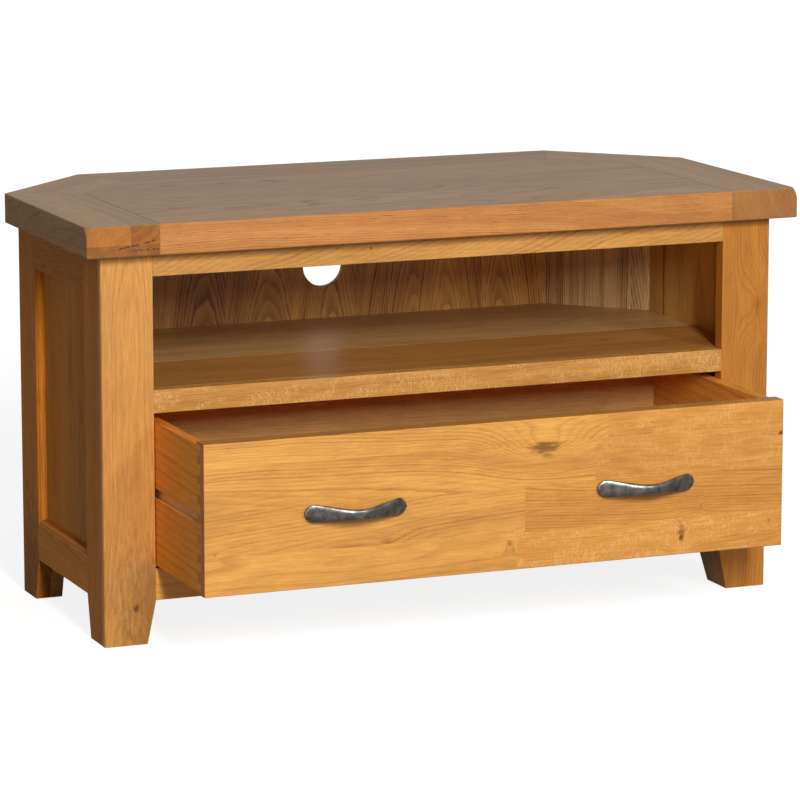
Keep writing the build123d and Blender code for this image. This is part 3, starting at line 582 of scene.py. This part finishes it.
# How deep the front edge of the top, the faces of the sides and the top edge of the drawer front reach
# into their boards, where they have a figure of their own. The inner faces of the right side frame are
# painted paler there, to make up for the warm light bounced inside the cabinet, and the top edge of the
# drawer front is painted darker, as painted shade.
FRONT_SKIN = 0.005
FACE_SKIN = 0.001
SHADED_EDGE_SKIN = 0.0006


# Operators, one for each group of like pieces
class CABINET_OT_top(bpy.types.Operator):
    """Finish the boards of the top"""

    bl_idname = "cabinet.top"
    bl_label = "Top boards"

    def execute(self, context):
        top = {"tone": 0.68, "contrast": 1.2, "pores": 0.9, "specular": 0.45, "polish": 1.0, "bump": 0.5,
               "matt": 0.22}
        half = half_size("top_panel")
        behind_edge = FRONT_SKIN - half.y
        seams = [((1, 0, 0), half.x, 0.0026, behind_edge), ((-1, 0, 0), half.x, 0.0020, behind_edge),
                 ((0, 1, 0), half.y, 0.0014, behind_edge)]
        front_edge = [((), {"Contrast": 0.85, "Tone": 0.81, "Warmth": 0.53}),
                      ((("Y", behind_edge),), {"Contrast": 1.3, "Tone": 0.66, "Warmth": 0.0})]
        # The greyer, bluer hues of the top boards are partly painted sheen, standing in for the white room
        # reflected in their lacquer.
        dress_board("top_panel", "X", "Y", 3.0, hue=(0.97, 1.11, 1.80), pith_across=0.01, pith_depth=-0.09,
                    stave_width=0.098, seams=seams, knots=[(0.335, -half.y, 0.012, 0.35, 0.15, 1.6)],
                    patches=front_edge, **top)
        border = {**top, "hue": (0.83, 0.96, 1.50)}
        dress_board("top_back_border", "X", "Y", 5.0, stave_width=0.2, pith_across=0.03, pith_depth=-0.06,
                    **border)
        upper, inner = ("Z", -0.005), ("Y", 0.010)
        blocks = [((), {"End Tone": 0.72, "Pith Across": -0.09, "Pith Depth": -0.06, "Contrast": 1.2}),
                  ((upper,), {"End Tone": 1.02, "Pith Across": 0.02, "Pith Depth": -0.03, "Contrast": 0.8}),
                  ((upper, inner), {"End Tone": 0.84, "Pith Across": -0.03, "Pith Depth": 0.05,
                                    "Contrast": 1.6})]
        cracks = [((0, -0.20, 1), -0.0085, 0.0016, -0.022), ((0, -0.04, 1), -0.0130, 0.0010, -0.005)]
        dress_board("top_end_left", "Y", "X", 8.0, hue=(0.93, 1.03, 1.45), end_tint=(1.07, 0.71, 0.35),
                    stave_width=0.2, patches=blocks, cracks=cracks, **top)
        dress_board("top_end_right", "Y", "X", 9.0, end_tint=(0.96, 0.73, 0.54), stave_width=0.2,
                    pith_across=0.05, pith_depth=0.03, **border)
        for number, (node, side) in enumerate(both("top_diagonal")):
            dress_board(node, "X", "Y", 11.0 + number, turn=-side * DIAGONAL, pith_across=0.02,
                        pith_depth=-0.07, **border)
        return {"FINISHED"}


def side_finish(node, side):
    """Figure of a board in the side frames. Those on the right are painted paler on the face that looks
    inside, to make up for the warm light bounced inside the cabinet.
    """
    if side < 0:
        return {"tone": 0.84, "specular": 0.04, "hue": (1.10, 0.80, 0.42)}
    inside = FACE_SKIN - half_size(node).x
    # Painted light: the inner skin of a right-hand board is made less warm than the rest of it.
    inner = [((), {"Warmth": -0.6}), ((("Z", inside),), {"Warmth": 0.0})]
    return {"tone": 0.82, "specular": 0.20, "hue": (1.08, 0.96, 0.84), "patches": inner}


class CABINET_OT_frames(bpy.types.Operator):
    """Finish the legs, rails, panels and beads"""

    bl_idname = "cabinet.frames"
    bl_label = "Legs, rails and side panels"

    def execute(self, context):
        # The first is a large soft dark patch that makes the leg darker towards the foot; the second is a
        # small knot.
        foot_darkening_and_knot = [(-0.200, 0.022, 0.045, 0.5, 0.42, 0.2), (-0.207, 0.008, 0.0055, 0.9, 0.85, 1.2)]
        dress_board("front_stile_left", "Z", "X", 20.0, hue=(0.92, 0.88, 0.88), pith_across=-0.03,
                    pith_depth=0.04, knots=foot_darkening_and_knot)
        dress_board("front_stile_right", "Z", "X", 21.0, hue=(0.80, 0.62, 0.38), pith_across=0.03,
                    pith_depth=0.04, tone=0.92, knots=[(0.135, 0.018, 0.008, 0.5, 0.25, 2.5)])
        for name, seed, pith in (("side_front_stile", 24.0, 0.06), ("side_bead", 42.0, 0.08)):
            for number, (node, side) in enumerate(both(name)):
                dress_board(node, "Z", "Y", seed + number, pith_depth=pith * side, **side_finish(node, side))
        # A large soft dark patch makes the rear stiles darker towards the foot.
        darker_foot = [(-0.235, 0.0, 0.075, 0.6, 0.55, 0.1)]
        for number, (node, side) in enumerate(both("side_rear_stile")):
            dress_board(node, "Z", "Y", 28.0 + number, pith_across=0.02, pith_depth=0.05 * side,
                        knots=darker_foot, **side_finish(node, side))
        for number, name in enumerate(("side_top_rail", "side_bottom_rail")):
            for node, side in both(name):
                dress_board(node, "Y", "Z", 32.0 + number + 0.3 * side, pith_depth=0.05 * side,
                            **side_finish(node, side))
        for number, (node, side) in enumerate(both("side_panel")):
            half = half_size(node)
            # Painted shade: dark bands along all four edges of each side panel, next to the frame around it.
            seams = [((0, 1, 0), half.y, 0.005, -half.y), ((0, -1, 0), half.y, 0.005, -2 * half.y),
                     ((-1, 0, 0), half.z, 0.003, -half.y), ((1, 0, 0), half.z, 0.003, -half.y)]
            dress_board(node, "Z", "Y", 38.0 + number, stave_width=0.09, pith_depth=0.05 * side, seams=seams,
                        **side_finish(node, side))
        for number, name in enumerate(("front_foot_block", "rear_foot_block")):
            for node, side in both(name):
                dress_board(node, "Z", "X", 46.0 + number + 0.3 * side, tone=0.85)
        dress_board("front_top_rail", "X", "Z", 52.0, pith_depth=0.08, rise=0.14, tone=0.84, contrast=0.8,
                    ring_width=0.0028, knots=[(-0.105, 0.004, 0.0022, 2.0, 1.0, 2.0)])
        dress_board("shelf_lip", "X", "Z", 54.0, pith_across=0.06, pith_depth=0.0, rays=0.70, tone=0.92,
                    contrast=0.8)
        dress_board("front_bottom_rail", "X", "Z", 56.0, hue=(1.05, 0.98, 0.88), pith_across=0.01,
                    pith_depth=0.06, tone=1.08)
        return {"FINISHED"}


class CABINET_OT_shelf(bpy.types.Operator):
    """Finish the shelf boards"""

    bl_idname = "cabinet.shelf"
    bl_label = "Shelf"

    def execute(self, context):
        shelf = {"pith_depth": -0.07, "contrast": 0.9, "specular": 0.38}
        dress_board("shelf_front_board", "X", "Y", 60.0, hue=(1.02, 0.95, 1.0), tone=0.74, pores=0.9, **shelf)
        dress_board("shelf_rear_board", "X", "Y", 62.0, hue=(0.84, 1.02, 1.70), tone=0.92, pores=0.8,
                    stave_width=0.12, pith_across=0.02, **shelf)
        return {"FINISHED"}


# Width of the veneer leaves on the back
LEAF_WIDTH = 0.0975
# Where the strip of arched veneer begins on the left and right diagonal panels, in half widths
ARCHED_STRIP = {-1: -0.95, 1: 0.68}


class CABINET_OT_back(bpy.types.Operator):
    """Finish the plywood back and the frame behind it"""

    bl_idname = "cabinet.back"
    bl_label = "Back panels and rear frame"

    def execute(self, context):
        ply = {"contrast": 1.5, "pores": 0.6, "stave_tone": 0.1, "early_share": 1.05, "pith_depth": 0.035,
               "sway": 1.2, "shade": 0.55}
        # The leaves grow lighter from left to right: painted shade, darkest on the left of the back and
        # lightest on the right.
        leaf_tones_painted_shade = [((), {"Tone": 0.84}), ((("Y", -LEAF_WIDTH),), {"Tone": 1.02}),
                  ((("Y", LEAF_WIDTH),), {"Tone": 1.25})]
        dress_board("back_panel", "Z", "X", 70.0, hue=(0.95, 1.0, 1.15), stave_width=LEAF_WIDTH,
                    pith_across=0.01, rise=0.09, patches=leaf_tones_painted_shade, **ply)
        for number, (node, side) in enumerate(both("diagonal_panel")):
            half_width = half_size(node).x * sqrt(2.0)
            strip = ARCHED_STRIP[side] * half_width
            arched = {"Pith Across": strip + 0.16 * half_width, "Rise": 0.11, "Tone": 1.30}
            figure = [((), {"Pith Across": 0.20, "Rise": 0.012, "Tone": 1.22}), ((("Y", strip),), arched)]
            dress_board(node, "Z", "X", 73.0 + number, turn=-side * DIAGONAL, hue=(0.92, 1.2, 2.3),
                        stave_width=0.9, patches=figure, **ply)
        for number, (node, _) in enumerate(both("back_post")):
            dress_board(node, "Z", "X", 76.0 + number, tone=0.85, pith_across=0.02, pith_depth=-0.05)
        for number, node in enumerate(("back_top_rail", "back_bottom_rail")):
            dress_board(node, "X", "Z", 80.0 + number, tone=0.85, pith_depth=-0.06)
        for number, name in enumerate(("diagonal_top_rail", "diagonal_bottom_rail")):
            for node, side in both(name):
                dress_board(node, "X", "Z", 83.0 + number + 0.3 * side, turn=-side * DIAGONAL, tone=0.85)
        return {"FINISHED"}


# Staves of the drawer front: the lower edges that each lies beyond, in metres from the middle, and
# its figure in the order of these settings
STAVE_SETTINGS = ("Seed", "Pith Across", "Pith Depth", "Rise", "Ring Width", "Contrast", "Tone", "Rays",
                  "Warmth")
DRAWER_STAVES = [
    ((), (90.0, -0.085, 0.030, 0.012, 0.0052, 1.0, 1.0, 0.0, 0.0)),
    ((("X", 0.022),), (91.0, -0.14, 0.05, -0.010, 0.0026, 0.6, 0.96, 0.75, 0.18)),
    ((("Y", -0.049),), (92.0, -0.10, 0.05, -0.055, 0.0036, 0.85, 1.05, 0.1, 0.0)),
    ((("Y", -0.049), ("X", 0.033)), (93.0, 0.06, 0.05, -0.060, 0.0040, 1.0, 0.93, 0.1, 0.16)),
    ((("Y", 0.010),), (94.0, -0.03, 0.040, 0.025, 0.0034, 0.95, 1.08, 0.0, 0.0)),
    ((("Y", 0.010), ("X", 0.132)), (95.0, -0.09, 0.05, 0.010, 0.0026, 0.55, 1.0, 0.45, 0.16)),
    ((("Y", 0.066),), (96.0, -0.02, 0.06, 0.015, 0.0030, 0.75, 1.06, 0.0, 0.0)),
    ((("Y", 0.066), ("X", 0.150)), (97.0, -0.05, 0.06, 0.010, 0.0026, 0.55, 0.97, 0.60, 0.18)),
]
# Knots of the drawer front: along, across, radius, stretch, depth, push
DRAWER_KNOTS = [
    (0.060, 0.059, 0.0095, 0.42, 0.70, 3.0),
    (0.064, 0.050, 0.0060, 0.7, 0.45, 0.5),
    (0.256, -0.068, 0.0100, 2.0, 0.60, 1.0),
    (0.256, -0.074, 0.0058, 1.6, 0.90, 0.6),
    (0.400, 0.054, 0.0032, 0.8, 1.0, 1.5),
    (0.012, -0.063, 0.0040, 1.3, 0.45, 1.2),
    (-0.159, -0.045, 0.0050, 0.5, 0.30, 0.8),
    (0.284, -0.034, 0.0030, 2.5, 0.45, 1.5),
    (0.384, -0.062, 0.0040, 1.4, 0.30, 2.0),
    (-0.389, -0.045, 0.0014, 1.0, 0.80, 0.5),
]
# Drawer sides: tint of the left and right one, colour of the bare groove and half its height
SIDE_TINT = {-1: (1.10, 0.74, 0.22), 1: (1.02, 0.86, 0.55)}
BARE_WOOD = (1.0, 0.66, 0.30)
GROOVE_REACH = 0.010


class CABINET_OT_drawer(bpy.types.Operator):
    """Finish the drawer box and its front"""

    bl_idname = "cabinet.drawer"
    bl_label = "Drawer"

    def execute(self, context):
        staves = [(edges, dict(zip(STAVE_SETTINGS, values))) for edges, values in DRAWER_STAVES]
        under_edge = half_size("drawer_front").z - SHADED_EDGE_SKIN
        # Painted shade: the top edge of the drawer front is made darker and a little warmer.
        shaded_top_edge = ((("Y", under_edge),), {"Tone": 0.66, "Warmth": 0.12})
        dress_board("drawer_front", "X", "Z", 90.0, hue=(0.99, 0.96, 0.90), stave_width=0.9,
                    knots=DRAWER_KNOTS, patches=[*staves, shaded_top_edge])
        for number, (node, side) in enumerate(both("drawer_side")):
            tint = SIDE_TINT[side]
            planed = {"Light": rgba(a * b for a, b in zip(context.scene.cabinet_oak.light, tint))}
            bare = {"Light": rgba(BARE_WOOD)}
            skin = half_size(node).x - FACE_SKIN
            groove = middle_of(node.replace("drawer_side", "runner")).z - middle_of(node).z
            faces = [((), planed), ((("Z", -skin), ("Y", groove - GROOVE_REACH)), bare),
                     ((("Z", -skin), ("Y", groove + GROOVE_REACH)), planed), ((("Z", skin),), planed)]
            dress_board(node, "Y", "Z", 94.0 + number, hue=tint, pith_across=0.25, pith_depth=0.05 * side,
                        ring_width=0.011, rise=0.03, pores=0.4, contrast=1.05, sway=0.7, tone=1.14,
                        patches=faces)
        pale = (0.98, 1.15, 1.85)
        dress_board("drawer_back", "X", "Z", 97.0, hue=pale, tone=0.98, contrast=0.3, pores=0.2)
        dress_board("drawer_bottom", "X", "Y", 98.0, hue=pale, tone=0.95, contrast=0.35, pores=0.25)
        return {"FINISHED"}


ZINC_DARK = (0.30, 0.28, 0.24)
ZINC_BRIGHT = (0.62, 0.60, 0.54)


class CABINET_OT_fittings(bpy.types.Operator):
    """Finish the runners, battens and screws"""

    bl_idname = "cabinet.fittings"
    bl_label = "Runners, battens and screws"

    def execute(self, context):
        plain = {"hue": (1.05, 1.16, 1.5), "pores": 0.2, "ring_width": 0.005}
        for number, (node, _) in enumerate(both("runner")):
            dress_board(node, "Y", "Z", 100.0 + number, tone=0.9)
        for number, (node, _) in enumerate(both("runner_bearer")):
            dress_board(node, "Y", "Z", 103.0 + number, **plain)
        for number, node in enumerate(("shelf_cleats", "top_fixing_blocks")):
            dress_board(node, "Y", "Z", 106.0 + number, **plain)
        steel = plain_metal("zinc_plated_steel", ZINC_DARK, ZINC_BRIGHT, 160.0, 0.34, (0.42, 0.72))
        for node in ("runner_screws", "top_fixing_screws", "handle_screws"):
            dress(node, steel)
        return {"FINISHED"}


class CABINET_OT_handles(bpy.types.Operator):
    """Model the two pewter bow handles in place of the plain ones"""

    bl_idname = "cabinet.handles"
    bl_label = "Bow handles"

    def execute(self, context):
        pewter = context.scene.cabinet_pewter
        metal = plain_metal("antique_pewter", pewter.dark, pewter.bright, 110.0, 0.31, (0.05, 1.0))
        for hand in ("left", "right"):
            middle = middle_of(f"handle_{hand}")
            piece = bow_handle(f"bow_handle_{hand}", Vector((middle.x, DRAWER_FACE_Y, middle.z)), pewter)
            piece.data.materials.append(metal)
            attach(piece, "drawer")
            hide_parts(f"handle_{hand}")
        return {"FINISHED"}


# Section of the handle: stations along it, and how its corners are rounded
STATIONS = 60
CORNER_SEGMENTS = 6
CORNER_ROUND = 0.72
# Bow and waist, as shares of half the length, and how fast the waist swells
BOW_REACH = 1.12
WAIST_REACH = 0.84
WAIST_POWER = 0.65
# Least height of the round tip, as a share of the end's height
TIP_SHARE = 0.04
# Length of the feet and how much they narrow towards the drawer
FOOT_REACH = 0.013
FOOT_TAPER = 0.35
# Depth of the face at the ends and at the waist, and how far the waist hangs
FACE_DEPTH = 0.0024
WAIST_DEPTH = 0.0042
WAIST_DROOP = 0.0022
# How near the drawer's face a point counts as on it
CUT_TOLERANCE = 1e-6


def drawn_section(model):
    """Draw a rounded square out into a chain of rings that still lie in one place."""
    bmesh.ops.create_grid(model, x_segments=1, y_segments=1, size=1.0)
    bmesh.ops.bevel(model, geom=model.verts[:], offset=CORNER_ROUND, affect="VERTICES",
                    segments=CORNER_SEGMENTS, profile=0.5, material=-1)
    bmesh.ops.delete(model, geom=model.faces[:], context="FACES_ONLY")
    loop = model.edges[:]
    rings = [model.verts[:]]
    for _ in range(STATIONS):
        drawn = bmesh.ops.extrude_edge_only(model, edges=loop)["geom"]
        rings.append([item for item in drawn if isinstance(item, bmesh.types.BMVert)])
        loop = [item for item in drawn if isinstance(item, bmesh.types.BMEdge)
                and all(vert in rings[-1] for vert in item.verts)]
    return rings


def bow_handle(name, seat, pewter):
    """Draw a flat-faced section along a bow that levels out into round ends, with a slim waist."""
    half, end_half = HANDLE_HALF.x, HANDLE_HALF.z
    bulge = 2 * HANDLE_HALF.y - pewter.end_thickness
    mesh = bpy.data.meshes.new(name)
    model = bmesh.new()
    rings = drawn_section(model)
    upright = Matrix(((0, 0, 1, 0), (1, 0, 0, 0), (0, 1, 0, 0), (0, 0, 0, 1)))
    for station, ring in enumerate(rings):
        spread = sin(pi * (station / STATIONS - 0.5))
        turn = pi * abs(spread) / BOW_REACH
        reach = pewter.end_thickness + bulge * (0.5 + 0.5 * cos(turn))
        slope = bulge * pi / (2 * BOW_REACH * half) * sin(turn)
        angle = copysign(atan(slope), spread)
        from_end = half * (1.0 - abs(spread))
        waist = (0.5 + 0.5 * cos(pi * min(1.0, abs(spread) / WAIST_REACH))) ** WAIST_POWER
        foot = 0.5 + 0.5 * cos(pi * min(1.0, max(0.0, from_end / FOOT_REACH - 1.0)))
        tip = min(1.0, from_end / end_half)
        height = end_half + (pewter.waist_height / 2 - end_half) * waist
        height *= max(TIP_SHARE, sqrt(1.0 - (1.0 - tip) ** 2))
        front = FACE_DEPTH + (WAIST_DEPTH - FACE_DEPTH) * waist
        back = pewter.waist_thickness - WAIST_DEPTH + reach * foot
        aside = half * spread - front * sin(angle)
        place = Vector((aside, front * cos(angle) - reach, -WAIST_DROOP * waist))
        seated = Matrix.Translation(seat + place) @ Matrix.Rotation(angle, 4, "Z") @ upright
        face = [vert for vert in ring if vert.co.x < 0]
        rear = [vert for vert in ring if vert.co.x >= 0]
        narrowed = height * (1.0 - FOOT_TAPER * foot)
        for depth, tall, verts in ((front, height, face), (back, narrowed, rear)):
            shape = seated @ Matrix.Diagonal((depth, tall, 1.0, 1.0))
            bmesh.ops.transform(model, matrix=shape, verts=verts)
    for ring in (rings[0], rings[-1]):
        bmesh.ops.contextual_create(model, geom=ring)
    cut = bmesh.ops.bisect_plane(model, geom=model.verts[:] + model.edges[:] + model.faces[:],
                                 dist=CUT_TOLERANCE, plane_co=seat, plane_no=(0, 1, 0), clear_outer=True)
    rim = [item for item in cut["geom_cut"] if isinstance(item, bmesh.types.BMEdge)]
    feet = bmesh.ops.holes_fill(model, edges=rim)["faces"]
    bmesh.ops.poke(model, faces=feet, center_mode="BOUNDS")
    bmesh.ops.recalc_face_normals(model, faces=model.faces[:])
    # Drawing out leaves the faces in a chance order, so they are put in the same one each time
    ordered = sorted(model.faces, key=lambda face: tuple(face.calc_center_median()))
    for number, face in enumerate(ordered):
        face.index = number
        face.smooth = True
    model.faces.sort()
    model.to_mesh(mesh)
    model.free()
    piece = bpy.data.objects.new(name, mesh)
    bpy.context.scene.collection.objects.link(piece)
    return piece


# Where the two lights stand, how wide and high they are, and where they point
LIGHT_TARGET = (0.0, 0.0, 0.30)
KEY_PLACE = (-0.79, -4.55, 2.21)
KEY_SIZE = (0.45, 1.5)
FILL_PLACE = (1.40, -4.31, 2.41)
FILL_SIZE = (0.5, 0.5)
# Camera: sensor width in millimetres, and how far it sees
SENSOR_WIDTH = 36.0
SIGHT_LIMIT = 200.0


class CABINET_OT_stage(bpy.types.Operator):
    """Set up the floor, the light and the camera"""

    bl_idname = "cabinet.stage"
    bl_label = "Studio"

    def execute(self, context):
        settings = context.scene.cabinet_stage
        add_floor(settings)
        add_room(context.scene, settings)
        add_softbox("key_light", KEY_PLACE, KEY_SIZE, settings.key_power)
        add_softbox("fill_light", FILL_PLACE, FILL_SIZE, settings.fill_power)
        camera = bpy.data.objects.new("camera", bpy.data.cameras.new("camera"))
        camera.location = settings.camera_place
        camera.rotation_euler = (pi / 2 - settings.camera_dip, 0.0, -settings.camera_turn)
        camera.data.lens = settings.lens
        camera.data.sensor_width = SENSOR_WIDTH
        camera.data.clip_end = SIGHT_LIMIT
        context.scene.collection.objects.link(camera)
        context.scene.camera = camera
        context.scene.view_settings.view_transform = "Standard"
        return {"FINISHED"}


def add_softbox(name, place, size, power):
    """A rectangular soft light that faces the object."""
    lamp = bpy.data.lights.new(name, "AREA")
    lamp.shape = "RECTANGLE"
    lamp.size, lamp.size_y = size
    lamp.energy = power
    box = bpy.data.objects.new(name, lamp)
    box.location = place
    box.rotation_euler = (Vector(LIGHT_TARGET) - Vector(place)).to_track_quat("-Z", "Y").to_euler()
    bpy.context.scene.collection.objects.link(box)


FLOOR_RADIUS = 60.0
# How white the floor looks at the object, and between which distances it turns to full white
FLOOR_WHITENESS = 0.86
FLOOR_FADE = (0.8, 4.0)
# How much of the white of the floor and of the room shows in reflections
FLOOR_MIRRORED = 0.10
ROOM_MIRRORED = 0.62


def white_for_sight(graph, mirrored):
    """1 for what the camera or clear glass shows, a share of it in reflections, 0 for other light."""
    path = graph.node("ShaderNodeLightPath").outputs
    reflected = graph.times(path["Is Glossy Ray"], mirrored)
    seen = graph.math("MAXIMUM", path["Is Camera Ray"], reflected)
    return graph.math("MAXIMUM", seen, path["Is Transmission Ray"])


def add_floor(settings):
    """A wide pale floor that keeps the shadow of the object."""
    model = bmesh.new()
    bmesh.ops.create_circle(model, cap_ends=True, segments=64, radius=FLOOR_RADIUS)
    mesh = bpy.data.meshes.new("floor")
    model.to_mesh(mesh)
    model.free()
    floor = bpy.data.objects.new("floor", mesh)
    bpy.context.scene.collection.objects.link(floor)
    material, graph, shader = new_material("pale_floor")
    shader.inputs["Base Color"].default_value = rgba(settings.floor)
    shader.inputs["Roughness"].default_value = 1.0
    shader.inputs["Specular IOR Level"].default_value = 0.0
    shader.inputs["Emission Color"].default_value = (1.0, 1.0, 1.0, 1.0)
    reach = graph.vector("LENGTH", graph.node("ShaderNodeTexCoord").outputs["Object"])
    far = graph.smooth(reach, *FLOOR_FADE)
    whiteness = graph.span(far, FLOOR_WHITENESS, 1.0)
    glow = graph.times(whiteness, white_for_sight(graph, FLOOR_MIRRORED))
    graph.feed(glow, shader.inputs["Emission Strength"])
    mesh.materials.append(material)


def add_room(scene, settings):
    """A white surround to look at, and a dimmer even light on the object."""
    world = bpy.data.worlds.new("studio")
    world.use_nodes = True
    graph = Graph(world.node_tree)
    graph.tree.nodes.clear()
    even = graph.node("ShaderNodeBackground", {"Strength": settings.sky})
    white = graph.node("ShaderNodeBackground")
    sight = white_for_sight(graph, ROOM_MIRRORED)
    blend = graph.node("ShaderNodeMixShader", (sight, even.outputs[0], white.outputs[0]))
    graph.node("ShaderNodeOutputWorld", {"Surface": blend.outputs[0]})
    scene.world = world


OPERATORS = (CABINET_OT_top, CABINET_OT_frames, CABINET_OT_shelf, CABINET_OT_back, CABINET_OT_drawer,
             CABINET_OT_fittings, CABINET_OT_handles, CABINET_OT_stage)
SETTINGS = {"cabinet_oak": OakSettings, "cabinet_pewter": PewterSettings, "cabinet_stage": StageSettings}


class CABINET_PT_panel(bpy.types.Panel):
    """Lists the pieces and their settings in the sidebar"""

    bl_idname = "CABINET_PT_panel"
    bl_label = "Corner media cabinet"
    bl_space_type = "VIEW_3D"
    bl_region_type = "UI"
    bl_category = "Cabinet"

    def draw(self, context):
        for operator in OPERATORS:
            self.layout.operator(operator.bl_idname)
        for pointer, settings in SETTINGS.items():
            box = self.layout.box()
            for label in settings.__annotations__:
                box.prop(getattr(context.scene, pointer), label)


def register():
    """Make the settings, the operators and the panel known to Blender."""
    for item in (*SETTINGS.values(), *OPERATORS, CABINET_PT_panel):
        bpy.utils.register_class(item)
    for pointer, settings in SETTINGS.items():
        setattr(bpy.types.Scene, pointer, bpy.props.PointerProperty(type=settings))


def unregister():
    """Take back what register did."""
    for pointer in SETTINGS:
        delattr(bpy.types.Scene, pointer)
    for item in reversed((*SETTINGS.values(), *OPERATORS, CABINET_PT_panel)):
        bpy.utils.unregister_class(item)


def main():
    """Dress the cabinet and set the stage."""
    register()
    bpy.ops.cabinet.top()
    bpy.ops.cabinet.frames()
    bpy.ops.cabinet.shelf()
    bpy.ops.cabinet.back()
    bpy.ops.cabinet.drawer()
    bpy.ops.cabinet.fittings()
    bpy.ops.cabinet.handles()
    bpy.ops.cabinet.stage()


if __name__ == "__main__":
    main()
